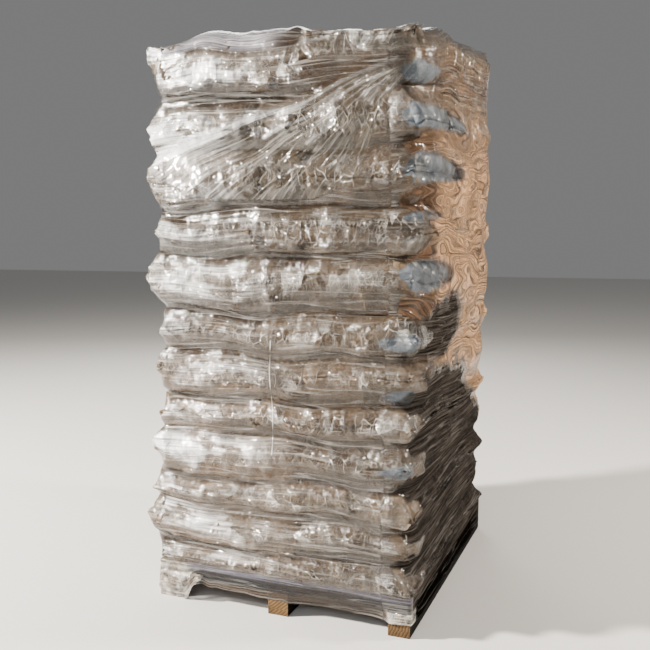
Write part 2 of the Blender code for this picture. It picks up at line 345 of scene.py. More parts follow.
# %% Shape the sewn end
# How far the tip lies off the middle in each layer, as a share of the layer's height.
TIP_LIFT = [-0.30, 0.00, -0.25, 0.00, -0.10, 0.10, -0.05, 0.12, -0.05, 0.00, -0.14, 0.40]
x, y, z = (sack_points[..., k].astype(float) for k in range(3))
thick = per_sack(THICK)
end = ease(x, 0.17, 0.32)
tip = per_sack([TIP_LIFT[place.layer] for place in PLACES]) * thick
core = (1 - np.abs(2 * z / thick)).clip(0, 1)
z = z + (tip - z) * 0.30 * end + tip * 0.7 * end * core
full = 1 + 0.6 * ease(x, 0.18, 0.26) * (1 - ease(x, 0.285, 0.312))
z = np.clip(z * full, -thick / 2 + CLEAR, thick / 2 - CLEAR)
print("outer ends reach", round(float(x.max()), 3), "m from the middle")

# %% [markdown]
# ## Load on the sacks
# The weight above squeezes each sack, so a free flank hangs: its nose lies below the middle, its
# upper side is a long slope, and its lower side tucks in sharply. The flanks are lowered most at
# mid height, and each sack by its own amount.

# %% Let the free flanks hang
number = per_sack(np.arange(len(PLACES)))
flank = np.where(y > 0, per_sack(FREE[:, 1]), per_sack(FREE[:, 0])) * ease(np.abs(y), 0.13, 0.2)
hang = 0.75 + 0.45 * chance(number, 3, 1)
belly = np.clip(1 - (2 * z / thick) ** 2, 0, 1)
z = z - 0.34 * thick * hang * flank * (1 - end) * belly
print("flanks hang by", np.round(0.34 * THICK * hang.ravel() * 1000).astype(int)[::12], "mm at most")

# %% [markdown]
# ## Crumpled paper
# The spare paper at the outer ends and free flanks is crumpled into facets of about 50 and
# 25 mm. A bump in the material would leave the outline smooth, so they are pressed into the mesh
# itself, along its normals. The flat faces between the layers stay smooth.

# %% Press the creases in
paper_u = np.linspace(0, 1, ALONG)[None, :, None] * per_sack(LENGTH)
paper_v = np.arange(ROUND)[None, None, :] * per_sack(GIRTH / ROUND)
cells = np.round(per_sack(GIRTH) / 0.05)
share_round = paper_v / per_sack(GIRTH)
big = creases(paper_u / 0.055, share_round * cells, 1.0 + number, cells)
small = creases(paper_u / 0.024, share_round * cells * 2, 71.0 + number, cells * 2)
shaped = np.stack([x, y, z], -1)
room = ease(np.maximum(end, flank), 0.15, 1.0) * (1 - ease(x, 0.29, 0.325))
depth = (0.011 * big + 0.005 * small - 0.006) * room
shaped += outward(shaped) * depth[..., None]
shaped[..., 2] = np.clip(shaped[..., 2], -thick / 2, thick / 2)
print("creases", round(float(depth.min()) * 1000, 1), "to", round(float(depth.max()) * 1000, 1), "mm")

# %% [markdown]
# ## Pillows on top, fins at the ends
# Nothing presses the top layer, so its sacks swell into pillows, and those that lie across do so
# most. At each end the two faces of the paper are sewn to a thin fin, which needs a real
# thickness to catch the light.

# %% Crown the top layer and part the sewn faces
FIN_THICK = 0.0016
top = per_sack([place.layer == len(LAYERS) - 1 for place in PLACES])
swell = per_sack([0.030 if place.number < 4 else 0.012 for place in PLACES])
crown = ease(0.30 - x, 0, 0.2) * ease(0.20 - np.abs(y), 0, 0.1) * ease(z / thick, 0.0, 0.5)
shaped[..., 2] += top * crown * swell
for row in SEWN_ROWS:
    shaped[:, row, :, 2] += FACE_SIDE * FIN_THICK / 2
print(int(top.sum()), "sacks of the top layer swell by up to", round(float(swell.max()), 3), "m")

# %% [markdown]
# ## Kraft paper
# Sack paper is unbleached kraft: brown, slightly cloudy, with long soft fibres and a smooth,
# dull face. Where the load's film clings to it, it takes a thin gloss, which is given here as
# a coat. A picture of paper could be laid on, but noise in the shader has no seams and no end.
# Roughness starts from about 0.7 for dull paper and is lowered for the film's cling.

# %% The paper's shader
paper, tree, shader = finish("kraft_paper", "#9b8468", 0.62)
shader.inputs["Coat Weight"].default_value = 0.3
shader.inputs["Coat Roughness"].default_value = 0.2
# How many of each pattern fit in a metre: clouds of 110 mm, worn ink edges of 36 mm and soft
# wrinkles of 17 mm. Real fibres are far too fine to show, so theirs are drawn about 1 mm wide.
CLOUDS, WORN_EDGES, WRINKLES, FIBRES = 9.0, 28.0, 60.0, 900.0
uv = add(tree, "UVMap")
place = add(tree, "TexCoord", out=3)
cloud = add(tree, "TexNoise", Vector=place, Scale=CLOUDS, Detail=4.0)
fibre = add(tree, "TexNoise", Vector=uv, Scale=FIBRES, Detail=2.0)
print("clouds of", round(1000 / CLOUDS), "mm and fibres of", round(1000 / FIBRES, 1), "mm")

# %% [markdown]
# ## Paper browns and worn ink
# Each sack gets its own tone by a number that its mesh carries, so sixty sacks share one
# material. On the right side the same number also carries painted sunlight and painted shade.
# Blue-grey areas are printed near the front right corner of the load, and they are kept as
# plain patches with a worn edge. A second number on the mesh says where they are.

# %% The paper's colour
# shade holds each sack's own tone, plus painted sunlight and painted shade on the right side
shade = add(tree, "Attribute", settings={"attribute_name": "shade"}, out=2)
ink = add(tree, "Attribute", settings={"attribute_name": "ink"}, out=2)
tone = add(tree, "Math ADD", add(tree, "Math MULTIPLY", cloud, 0.6), add(tree, "Math MULTIPLY", shade, 0.4))
brown = add(tree, "ValToRGB", tone, stops=((0.05, "#1d1915"), (0.30, "#41362a"), (0.5, "#5e4e3c"),
                                           (0.68, "#7d664c"), (0.9, "#a58963")))
edge = add(tree, "TexNoise", Vector=place, Scale=WORN_EDGES, Detail=5.0)
edge = add(tree, "Math MULTIPLY", add(tree, "Math SUBTRACT", edge, 0.5), 0.5)
printed = add(tree, "MapRange", add(tree, "Math ADD", ink, edge), 0.49, 0.52)
worn = add(tree, "ValToRGB", cloud, stops=((0.3, "#2c3336"), (0.52, "#565f66"), (0.75, "#848b95")))
colour = add(tree, "Mix", printed, at={6: brown, 7: worn}, settings={"data_type": "RGBA"}, out=2)
tree.links.new(colour, shader.inputs["Base Color"])
print("paper has", len(tree.nodes), "nodes so far")

# %% [markdown]
# ## Small folds in the paper
# Between the modelled creases, paper that has been handled keeps small flat facets, here 40 mm
# and 15 mm across, which catch the light one by one. A bump from noise looks like soft dough, so
# each cell of a Voronoi pattern tips the normal at random and stays flat in itself.

# %% The paper's folds
def facets(tree, place, amount, normal):
    """A normal that tips at random in each cell, as on crumpled paper or film."""
    cells = add(tree, "TexVoronoi", place, Scale=1.0, out=1)
    tip = add(tree, "VectorMath SUBTRACT", cells, (0.5, 0.5, 0.5))
    tipped = add(tree, "VectorMath MULTIPLY_ADD", tip, amount, normal)
    return add(tree, "VectorMath NORMALIZE", tipped)


level = add(tree, "NewGeometry", out=1)
large = add(tree, "VectorMath MULTIPLY", place, (24.0, 24.0, 15.0))
small_cells = add(tree, "VectorMath MULTIPLY", place, (70.0, 70.0, 45.0))
folded = facets(tree, small_cells, (0.35, 0.35, 0.35), facets(tree, large, (0.5, 0.5, 0.5), level))
wrinkle = add(tree, "TexNoise", Vector=place, Scale=WRINKLES, Detail=3.0)
rough = add(tree, "Bump", Strength=0.5, Distance=0.003, Height=wrinkle, Normal=folded)
rough = add(tree, "Bump", Strength=0.25, Distance=0.0006, Height=fibre, Normal=rough)
tree.links.new(rough, shader.inputs["Normal"])
tree.links.new(folded, shader.inputs["Coat Normal"])
print("paper has", len(tree.nodes), "nodes")

# %% [markdown]
# ## How the stack has settled
# A real stack is never square. Above the eighth layer this one rises towards the back, its
# layers are wavy, and each stands a little out of line. All sacks and the film are made on the
# level load, which is simple, and one function then moves every point of them in the same way,
# so that nothing comes apart.

# %% Settle the load
BACK_RISE = 0.145
LEVEL_LAYERS = 8
LEVEL_TOP = DECK_TOP + sum(LAYERS[:LEVEL_LAYERS]) + GAP * LEVEL_LAYERS + GAP / 2
LAYER_TOPS = DECK_TOP + np.cumsum(np.array(LAYERS) + GAP)
LAYER_MIDDLES = LAYER_TOPS - np.array(LAYERS) / 2
# How far each layer's right end stands out, in metres from the bottom layer up.
RIGHT_SHIFT = [-0.008, 0.0, -0.010, 0.010, -0.006, 0.022, 0.004, 0.034, 0.004, 0.036, 0.010, 0.022]
# Heights in metres, and how many millimetres the load's left side stands out there in the photo.
LEFT_LEAN = [
    (0.18, 0), (0.24, 46), (0.275, 48), (0.305, 40), (0.337, 18), (0.40, 36), (0.433, 14), (0.50, 24),
    (0.528, -4), (0.56, 0), (0.59, 15), (0.635, 30), (0.684, -6), (0.715, -12), (0.777, -6), (0.82, 14),
    (0.87, -3), (0.95, -6), (1.0, -8), (1.053, -2), (1.1, 16), (1.144, 50), (1.19, 48), (1.234, 40),
    (1.264, 22), (1.324, 36), (1.38, 5), (1.413, -4), (1.472, 24), (1.51, 8), (1.56, 0), (1.60, 24),
    (1.677, 50), (1.735, 26), (1.77, 28), (1.80, 40), (1.879, 44), (1.964, 18), (2.0, 2), (2.05, 10)]


def settle(points):
    """Fuller towards the back above the level layers, wavy, and each layer a little out of line."""
    share = np.clip((points[..., 2] - LEVEL_TOP) / (LOAD_TOP - LEVEL_TOP), 0, None)
    x, y, z = (points[..., k] for k in range(3))
    raised = points.copy()
    raised[..., 2] += BACK_RISE * share * (y + DEPTH / 2) / DEPTH
    loose = ease(z, DECK_TOP, DECK_TOP + 0.2)
    wave = 0.007 * np.sin(9 * x + 4 * y + 7 * z) + 0.005 * np.sin(16 * x - 6 * y + 12 * z + 2)
    raised[..., 2] += wave * loose * (1 - 0.5 * ease(z, 1.8, LOAD_TOP))
    held = ease(z, DECK_TOP, DECK_TOP + 0.04)
    lean = np.interp(z, [p[0] for p in LEFT_LEAN], [p[1] / 1000 for p in LEFT_LEAN])
    raised[..., 0] -= held * lean * np.clip(-x / 0.5, 0, 1) ** 2
    raised[..., 0] += held * np.interp(z, LAYER_MIDDLES, RIGHT_SHIFT) * np.clip(x / 0.5, 0, 1) ** 2
    # On the top layers: a hump at the front left, a dip at the front right, a hump on the right.
    ahead = np.exp(-((y + 0.6) / 0.3) ** 2)
    humps = 0.022 * ahead * np.exp(-((x + 0.29) / 0.09) ** 2)
    humps = humps - 0.020 * ahead * np.exp(-((x - 0.36) / 0.16) ** 2)
    humps = humps + 0.030 * np.exp(-((x - 0.5) / 0.12) ** 2 - ((y + 0.22) / 0.13) ** 2)
    raised[..., 2] += ease(share, 0.5, 1) * humps
    raised[..., 1] += 0.006 * np.sin(7 * z + 4 * x + 2) * loose
    return raised


back_corner = settle(np.array([[WIDTH / 2, DEPTH / 2, LOAD_TOP]]))
print("the load's top back corner settles at", np.round(back_corner[0], 3))

# %% [markdown]
# ## Printed patches
# Eight printed areas lie one above the other near the front right corner, and each is folded
# round it. A picture would have to be cut to fit each sack. Here a patch is a height, a half
# height, and where it ends on the front and on the side. Small dark spots lie just below some.

# %% Where ink and spots are
PATCHES = ((1.92, 0.045, 0.43, -0.36), (1.765, 0.042, 0.45, 0.06), (1.60, 0.048, 0.44, -0.02),
           (1.45, 0.016, 0.45, -0.30), (1.25, 0.060, 0.43, -0.20), (1.02, 0.030, 0.38, -0.54),
           (0.83, 0.035, 0.38, -0.54), (0.58, 0.026, 0.38, -0.54))
DARK_SPOTS = ((-0.56, 1.865, 0.020), (-0.50, 1.84, 0.014), (-0.57, 1.695, 0.018), (-0.55, 1.50, 0.020),
                 (-0.40, 1.13, 0.024), (-0.47, 1.19, 0.014), (-0.58, 0.97, 0.016))


def ink_field(world):
    """How far inside a printed patch a point lies, for the patches near the front right corner."""
    x, y, z = world[..., 0], world[..., 1], world[..., 2]
    field = np.zeros(x.shape)
    for height, tall, front, side in PATCHES:
        span = np.where(x > 0.47, (y + 0.6) / (side + 0.6), (0.5 - x) / (0.5 - front))
        field = np.maximum(field, 1 - 0.5 * np.sqrt(((z - height) / tall) ** 2 + np.clip(span, 0, None) ** 2))
    return np.where((x > 0.3) & (y < 0.15), field, 0)


def spot_field(world):
    """1 in the small dark spots below the patches."""
    field = np.zeros(world.shape[:-1])
    for y, z, size in DARK_SPOTS:
        away = np.hypot((world[..., 1] - y) / 1.6, world[..., 2] - z) / size
        away = away + 0.5 * soft_noise(world[..., 1] / 0.02, world[..., 2] / 0.015, 41)
        field = np.maximum(field, ease(1.2 - away, 0, 0.3))
    return field * ease(world[..., 0], 0.42, 0.46)


print(len(PATCHES), "patches and", len(DARK_SPOTS), "spots")

# %% [markdown]
# ## Painted sunlight and shade on the right side
# On the right side the load's upper part is painted bright, as in sunlight, and below a slanting
# edge it is painted dark, as in shade, with one painted dark hollow above that edge. No soft lamp
# draws such an edge, so this sunlight and shade are painted into the paper and the film here.
# They are fixed to the load, so they hold from every side.

# %% The slanting edge of the painted sunlight and shade
# Places along the right side, from the front, and the edge's height at each, in metres.
SHADE_EDGE = ([-0.6, -0.34, 0.04, 0.24, 0.35, 0.54, 0.65], [0.93, 0.90, 0.886, 0.79, 0.71, 0.57, 0.50])


def rough_height(y, z):
    """The height with a ragged unevenness, which makes the edge of a tone irregular."""
    return z + 0.03 * soft_noise(y / 0.12, z / 0.08, 31) + 0.012 * soft_noise(y / 0.03, z / 0.03, 32)


def shaded(y, z):
    """1 where shade is painted on the right side: below a slanting edge, and in one hollow above it."""
    z = rough_height(y, z)
    below = ease(np.interp(y, *SHADE_EDGE) - z, -0.01, 0.02)
    hollow = 1.3 - np.hypot((y + 0.33) / 0.34, (z - 1.06 - 0.1 * (y + 0.16)) / 0.10)
    return np.maximum(below, ease(hollow, 0, 0.40))


def sunlit(y, z):
    """1 where sunlight is painted on the right side."""
    z = rough_height(y, z)
    return ease(z - np.interp(y, *SHADE_EDGE), 0, 0.03) * (1 - 0.65 * ease(z, 1.55, 1.95))


print("the tones meet at", SHADE_EDGE[1][0], "m in front and", SHADE_EDGE[1][-1], "m behind")

# %% [markdown]
# ## From points to a mesh
# All the soft pieces are grids of points, so one function turns such a grid into a smooth mesh.
# It also writes the UVs in metres, so that patterns have real sizes, and the numbers that the
# materials read at each point.

# %% Mesh helpers
def skin(name, points, faces, material, uvs=None, **values):
    """A smooth mesh object with one material, UVs in metres and float attributes of its points."""
    mesh = bpy.data.meshes.new(name)
    mesh.from_pydata(np.asarray(points, float).reshape(-1, 3).tolist(), [], list(faces))
    if uvs is not None:
        layer = mesh.uv_layers.new(name="UVMap")
        corner = np.zeros(len(mesh.loops), np.int32)
        mesh.loops.foreach_get("vertex_index", corner)
        layer.data.foreach_set("uv", np.asarray(uvs, np.float32).reshape(-1, 2)[corner].ravel())
    for key, value in values.items():
        colour = np.ndim(value) == 3
        made = mesh.attributes.new(key, "FLOAT_COLOR" if colour else "FLOAT", "POINT")
        made.data.foreach_set("color" if colour else "value", np.ravel(value).astype(np.float32))
    mesh.polygons.foreach_set("use_smooth", [True] * len(mesh.polygons))
    mesh.materials.append(material)
    made = bpy.data.objects.new(name, mesh)
    bpy.context.scene.collection.objects.link(made)
    return made


def grid_faces(rows, columns, closed):
    """Quads between the rows and columns of a grid, the last column joined to the first if closed."""
    i, j = np.meshgrid(np.arange(rows - 1), np.arange(columns if closed else columns - 1), indexing="ij")
    k = (j + 1) % columns
    quads = np.stack([i * columns + j, i * columns + k, (i + 1) * columns + k, (i + 1) * columns + j], -1)
    return quads.reshape(-1, 4).tolist()


def end_faces():
    """Closes both flat ends of a sack between the paper's two faces."""
    faces = []
    for row, turned in ((0, False), (ALONG - 1, True)):
        for j in range(1, ROUND // 2 - 1):
            face = [row * ROUND + n for n in (j, j + 1, ROUND - j - 1, ROUND - j)]
            faces.append(face[::-1] if turned else face)
    return faces


SACK_FACES = [face[::-1] for face in grid_faces(ALONG, ROUND, True)] + end_faces()
print(len(SACK_FACES), "faces in a sack")

# %% [markdown]
# ## Sixty sacks
# Each sack is turned and moved to its place, then settled with the rest of the load, and given
# its own shade. It takes the place of its layer in the CAD frame.

# %% Build each sack
def to_world(points, place):
    """A sack's own points, turned and moved to its place in the level stack."""
    cos, sin = math.cos(place.turn), math.sin(place.turn)
    x, y, z = points[..., 0], points[..., 1], points[..., 2]
    east, north, up = place.middle
    return np.stack([east + cos * x - sin * y, north + sin * x + cos * y, up + z], -1)


SACKS = []
flat_world = []
for n, place in enumerate(PLACES):
    world = to_world(shaped[n], place)
    flat_world.append(world)
    uvs = np.stack(np.broadcast_arrays(paper_u[n] + n * 0.7, paper_v[n]), -1)
    x, y, z = (world[..., k] for k in range(3))
    # The right side's paper: painted sunlight above the slanting edge, painted shade below it
    painted_light_on_right = ease(x, 0.44, 0.48) * (0.7 * sunlit(y, z) - 1.3 * shaded(y, z)) * ease(y, -0.50, -0.42)
    tint = 0.4 + 0.3 * float(chance(n, 2, 9)) + painted_light_on_right - 0.8 * spot_field(world)
    sack = skin("sack_%02d_%d" % (place.layer + 1, place.number), settle(world), SACK_FACES, paper, uvs,
                shade=tint, ink=ink_field(world))
    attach(sack, "root")
    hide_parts("sack_layer_%02d" % (place.layer + 1))
    SACKS.append(sack)
print(sum(len(s.data.polygons) for s in SACKS) * 2, "triangles in the sacks,",
      round(time.time() - started, 1), "s")

# %% [markdown]
# ## Stretch film
# The film is one thin web, wound under tension. In plan it is as tight as a string round
# whatever it meets at that height, and where sacks stick out it springs from nose to nose.
# Cloth shrunk onto the load would catch on every crease and take long, so it is made as a grid
# of points round the load, each on a line that points outwards. First come the columns.

# %% The film's columns and its plain outline
COARSE, FINE = 0.012, 0.006
CORNER_RADIUS = 0.10
CORNER_COLUMNS = 26
EDGE = 0.05


def columns_round():
    """Place along each corner's arc or along the side after it, as (corner, share, on the arc)."""
    spots = []
    for corner, run in enumerate((DEPTH, WIDTH, DEPTH, WIDTH)):
        spots += [(corner, k / CORNER_COLUMNS, True) for k in range(CORNER_COLUMNS)]
        step_size = FINE if corner in (0, 3) else COARSE
        count = int((run - 2 * CORNER_RADIUS) / step_size)
        spots += [(corner, k / count, False) for k in range(count)]
    return spots


COLUMNS = columns_round()


def outline(inset):
    """Plan points and outward directions at some depth inside the load's plain outline."""
    radius = max(CORNER_RADIUS - inset, 0.008)
    hx, hy = WIDTH / 2 - inset - radius, DEPTH / 2 - inset - radius
    middles = [(hx, -hy), (hx, hy), (-hx, hy), (-hx, -hy)]
    points, ways = [], []
    for corner, share, arc in COLUMNS:
        if arc:
            angle = math.radians(-90 + 90 * (corner + share))
            x, y = middles[corner]
        else:
            angle = math.radians(90 * corner)
            (ax, ay), (bx, by) = middles[corner], middles[(corner + 1) % 4]
            x, y = ax + share * (bx - ax), ay + share * (by - ay)
        ways.append((math.cos(angle), math.sin(angle)))
        points.append((x + radius * ways[-1][0], y + radius * ways[-1][1]))
    return np.array(points), np.array(ways)


rim, ways = outline(EDGE)
plain = outline(0)[0]
lengths = np.sqrt((np.diff(np.vstack([plain, plain[:1]]), axis=0) ** 2).sum(1))
along = np.concatenate([[0], np.cumsum(lengths)[:-1]])
print(len(COLUMNS), "columns, girth", round(float(lengths.sum()), 2), "m")

# %% [markdown]
# ## Rows from the hem to over the top
# The rows climb from the hem to the load's top edge, turn over it, and run inwards, because the
# last turns of film fold in over the top. Each point gets a base inside the load and a way out,
# so later steps only have to say how far out the film lies.

# %% The film's rows
FOLD_IN = 0.17
HEM = 0.030
heights = np.arange(HEM, LOAD_TOP - EDGE, FINE)
tilts = np.radians(np.linspace(0, 90, 13))[1:]
insets = np.linspace(EDGE, EDGE + FOLD_IN, 15)[1:]
rows = [(z, 0.0, EDGE) for z in heights] + [(LOAD_TOP - EDGE, t, EDGE) for t in tilts]
rows += [(LOAD_TOP - EDGE, math.pi / 2, inset) for inset in insets]
base = np.zeros((len(rows), len(COLUMNS), 3))
way = np.zeros_like(base)
for j, (z, tilt, inset) in enumerate(rows):
    plan = rim if inset == EDGE else outline(inset)[0]
    base[j] = np.column_stack([plan, np.full(len(plan), z)])
    way[j] = np.column_stack([ways * math.cos(tilt), np.full(len(plan), math.sin(tilt))])
SIDE_ROWS = len(heights)
path = np.array([z + EDGE * 1.2 * tilt + (inset - EDGE) for z, tilt, inset in rows])
s_grid = np.broadcast_to(along, base.shape[:2])
z_grid = np.broadcast_to(np.array([row[0] for row in rows])[:, None], base.shape[:2])
path_grid = path[:, None] + 0 * z_grid
print("film grid", base.shape[:2], "of which", SIDE_ROWS, "rows on the sides")

# %% [markdown]
# ## The hem
# The film's lower edge slopes down along the front, and its end is gathered in a knob round the
# front left block. The lower rows are squeezed towards that edge, which keeps the grid whole.

# %% Bend the lower rows to the hem
def bunched(x, y):
    """1 round the front left block, where the end of the film is gathered in a knob."""
    away = np.maximum(np.abs(x + 0.408) - 0.076, 0.6 * (np.abs(y + 0.6) - 0.13))
    return ease(-away, -0.02, 0.0)


def hem_height(plan):
    """The film's lower edge: sloping down along the front, low at the bunched corner."""
    x, y = plan[:, 0], plan[:, 1]
    front = np.interp(x, [-0.33, 0.40, 0.43], [0.066, 0.040, 0.047])
    hem = np.where(y < -0.5, front, np.where(x > 0.4, 0.031, 0.045))
    return hem + (0.003 + 0.07 * ease(x, -0.39, -0.335) - hem) * bunched(x, y)


hem = hem_height(rim)
low = np.clip((DECK_TOP - base[..., 2]) / (DECK_TOP - HEM), 0, 1)
wave = 0.004 * soft_noise(rim[:, 0] / 0.03 + 3 * rim[:, 1] / 0.1, 0 * hem, 77)
base[..., 2] += low * (hem + wave - HEM)
print("hem", round(float(hem.min()), 3), "to", round(float(hem.max()), 3), "m high")

# %% [markdown]
# ## What the film meets
# To know how far out the load comes, a ray is sent inwards along each point's line, onto one
# tree of all sacks and pallet pieces. Blender's Shrinkwrap does the same for a mesh, but the
# plain distances are needed here for the next step.

# %% What lies under the film
PALLET_PARTS = ("deck", "cross", "block", "bottom")
REACH, INWARD = 0.20, 0.12


def tree_under():
    """All sacks, level, and the pallet, as one tree for rays."""
    points, faces, start = [], [], 0
    for world in flat_world:
        points.append(world.reshape(-1, 3))
        faces += [[start + n for n in face] for face in SACK_FACES]
        start += world.shape[0] * world.shape[1]
    for name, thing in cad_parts.items():
        if name.startswith(PALLET_PARTS):
            spots = np.array([v.co for v in thing.data.vertices])
            points.append(spots)
            faces += [[start + n for n in p.vertices] for p in thing.data.polygons]
            start += len(spots)
    return BVHTree.FromPolygons(np.vstack(points).tolist(), faces)


rays = tree_under()
under = np.full(base.shape[:2], -INWARD)
for j in range(base.shape[0]):
    for i in range(base.shape[1]):
        w = Vector(way[j, i])
        hit = rays.ray_cast(Vector(base[j, i]) + w * REACH, -w, REACH + INWARD)
        if hit[0] is not None:
            under[j, i] = REACH - hit[3]
print("rays done after", round(time.time() - started, 1), "s")

# %% [markdown]
# ## A tight string in each row
# Film under tension goes the shortest way round, and in plan that is the convex outline of what
# it meets. The outline's corners are the points where the film touches, and between two of them
# it is straight. A second, softer surface follows the load closely, for film that clings.

# %% Draw each row tight
def tight_string(row):
    """How far out the tight string round one row's points lies, in each direction."""
    plan = base[row, :, :2] + way[row, :, :2] * under[row][:, None]
    start = int(np.argmin(plan[:, 1] - 0.3 * plan[:, 0]))
    order = [(start + k) % len(plan) for k in range(len(plan) + 1)]
    hull = []
    for n in order:
        while len(hull) > 1:
            a, b, c = plan[hull[-2]], plan[hull[-1]], plan[n]
            if (b[0] - a[0]) * (c[1] - a[1]) - (b[1] - a[1]) * (c[0] - a[0]) > 0:
                break
            hull.pop()
        hull.append(n)
    out = under[row].copy()
    for m, n in zip(hull, hull[1:]):
        between = [(m + k) % len(plan) for k in range(1, (n - m) % len(plan))]
        if not between:
            continue
        a, run = plan[m], plan[n] - plan[m]
        foot, aim = base[row, between, :2], way[row, between, :2]
        side = np.array([run[1], -run[0]])
        out[between] = ((a - foot) @ side) / (aim @ side)
    return out


def blur(field, size):
    """A running mean round the load, of a field on the grid."""
    total = sum(np.roll(field, k, 1) for k in range(-size, size + 1))
    return total / (2 * size + 1)


tight = under.copy()
for j in range(SIDE_ROWS):
    tight[j] = tight_string(j)
cling = np.maximum.reduce([np.roll(under, k, 1) for k in (-2, -1, 0, 1, 2)])
cling = blur(blur(cling, 3), 3)
print("tight string done after", round(time.time() - started, 1), "s")

# %% [markdown]
# ## Bridge or cling
# Round the pallet and low on the right side the film is quite tight, and elsewhere it gives way
# between the noses, by different amounts. A wall, at most 42 mm inside the load's plain outline,
# stops it from sinking into the grooves between the sacks.

# %% Choose how tight the film is
front = base[..., 1] < -0.47
right = (base[..., 0] > 0.40) & ~front
left = base[..., 0] < -0.40
bridge = np.clip(np.where(front, 0.9, 0.75) + 0.25 * soft_noise(s_grid / 0.22, z_grid / 0.12, 40), 0.4, 1.0)
bridge = np.where((z_grid < DECK_TOP + 0.01) | (right & (z_grid < 0.9)), 1.0, bridge)
film = np.maximum(under + 0.001, bridge * tight + (1 - bridge) * cling)
deepest = np.where(front | left, 0.030 + 0.012 * ease(-base[..., 0], 0.34, 0.48), 0.014)
deepest = np.where(right, 0.012 - 0.020 * ease(base[..., 2], 0.5, 1.2), deepest)
wall = np.where(z_grid < LOAD_TOP - EDGE - 0.001, EDGE - deepest, -1)
film = np.maximum(film, wall)
film[SIDE_ROWS:] = np.maximum(cling[SIDE_ROWS:], EDGE - 0.03)
print("film stands", round(float((film - under)[front & (under > -INWARD)].mean()) * 1000, 1),
      "mm off the front on average")

# %% [markdown]
# ## Ropes of taut film
# Some turns are pulled into ropes that run up across the front to the top right corner. They
# could be pieces of their own, but they are the same web, so the film is only kept from sinking
# in along those lines. A few rounds of smoothing then even the tension between the rows.

# %% Keep the ropes taut and even the tension
# Each rope runs through points across (x) and up (z) on the front.
ROPES = [[(-0.51, 1.655), (-0.34, 1.706), (-0.07, 1.787), (0.12, 1.846), (0.30, 1.915), (0.42, 1.969)],
         [(-0.04, 1.720), (0.324, 1.888), (0.446, 1.939)], [(0.12, 1.70), (0.446, 1.925)],
         [(0.26, 1.70), (0.446, 1.91)], [(-0.50, 1.765), (-0.39, 1.736), (-0.34, 1.706)]]
ROPE_HALF = 0.0045
EVEN_ROUNDS = 30


def from_ropes(x, z):
    """Distance to the nearest taut rope of film across the front."""
    near = np.full(x.shape, 9.0)
    for rope in ROPES:
        for (ax, az), (bx, bz) in zip(rope, rope[1:]):
            run = np.array([bx - ax, bz - az])
            t = np.clip(((x - ax) * run[0] + (z - az) * run[1]) / (run @ run), 0, 1)
            near = np.minimum(near, np.hypot(x - ax - t * run[0], z - az - t * run[1]))
    return near


def rows_above(field, count):
    """For each row, the one so many rows above it."""
    return np.concatenate([field[count:], field[-count:]])


def rows_below(field, count):
    """For each row, the one so many rows below it."""
    return np.concatenate([field[:count], field[:-count]])


def relax(film, rounds, least):
    """Moves each point towards the mean of its neighbours, and never below the least."""
    for _ in range(rounds):
        place = base + way * film[..., None]
        mean = 0.36 * (np.roll(place, 1, 1) + np.roll(place, -1, 1))
        mean += 0.14 * (rows_below(place, 1) + rows_above(place, 1))
        film = np.maximum(least, ((mean - base) * way).sum(-1))
    return film


rope_gap = np.where(base[..., 1] < -0.44, from_ropes(base[..., 0], base[..., 2]), 9.0)
rope_gap[SIDE_ROWS:] = 9.0
rope_out = EDGE + 0.004 - 0.05 * ease(-base[..., 0], 0.36, 0.48)
least = np.maximum.reduce([under + 0.001, wall, np.where(rope_gap < ROPE_HALF, rope_out, -1)])
film = relax(np.maximum(film, least), EVEN_ROUNDS, least)
print(int((rope_gap < ROPE_HALF).sum()), "points of the grid lie on ropes")

# %% [markdown]
# ## Noses, valleys and slopes
# Later steps crease the film over each nose, paint shade into the valleys and keep them free
# of milky white, so both are measured here. A point is on a nose where it stands further out
# than the film a dozen rows above and below it, and its slope says how much light from above it
# gets, which the film's tint then paints in as a lighter colour.

# %% Measure noses, valleys and slopes
above_below = 0.5 * (rows_above(film, 12) + rows_below(film, 12))
nose = ease(film - above_below, -0.006, 0.012)
slope = rows_below(film, 3) - rows_above(film, 3)
layer = np.searchsorted(LAYER_TOPS, z_grid).clip(0, len(LAYERS) - 1)
up = 1 - (LAYER_TOPS[layer] - z_grid) / np.array(LAYERS)[layer]
# lit: painted light on slopes that face up, for the film's tint
lit = slope + 0.7 * (film - above_below) + 0.005 * soft_noise(s_grid / 0.05, z_grid / 0.04, 70)
lit = ease(lit + 0.022 * (up - 0.42), -0.003, 0.012)
nose, lit = np.where(z_grid < DECK_TOP, 0.0, (nose, lit))
bunch = bunched(base[..., 0], base[..., 1]) * (base[..., 2] < 0.105)
flap = ease(base[..., 0], 0.405, 0.415) * (way[..., 1] < -0.35) * (base[..., 2] < 0.086)
# Valleys between the noses, which get painted shade in the film's tint
valley_shade = ease(above_below - film, 0.003, 0.016) * (z_grid > DECK_TOP)
nose = np.maximum(nose, np.maximum(bunch, flap))
print("noses cover", round(float((nose > 0.5).mean()), 2), "of the film")

# %% [markdown]
# ## Creases in the film
# Film is creased where it turns over a nose and hardly where it is taut, and the gathered end at
# the front left block is a thick crumpled knob. These creases are wide enough to change the
# outline, so they are in the mesh, and the finer ones are left to the material.

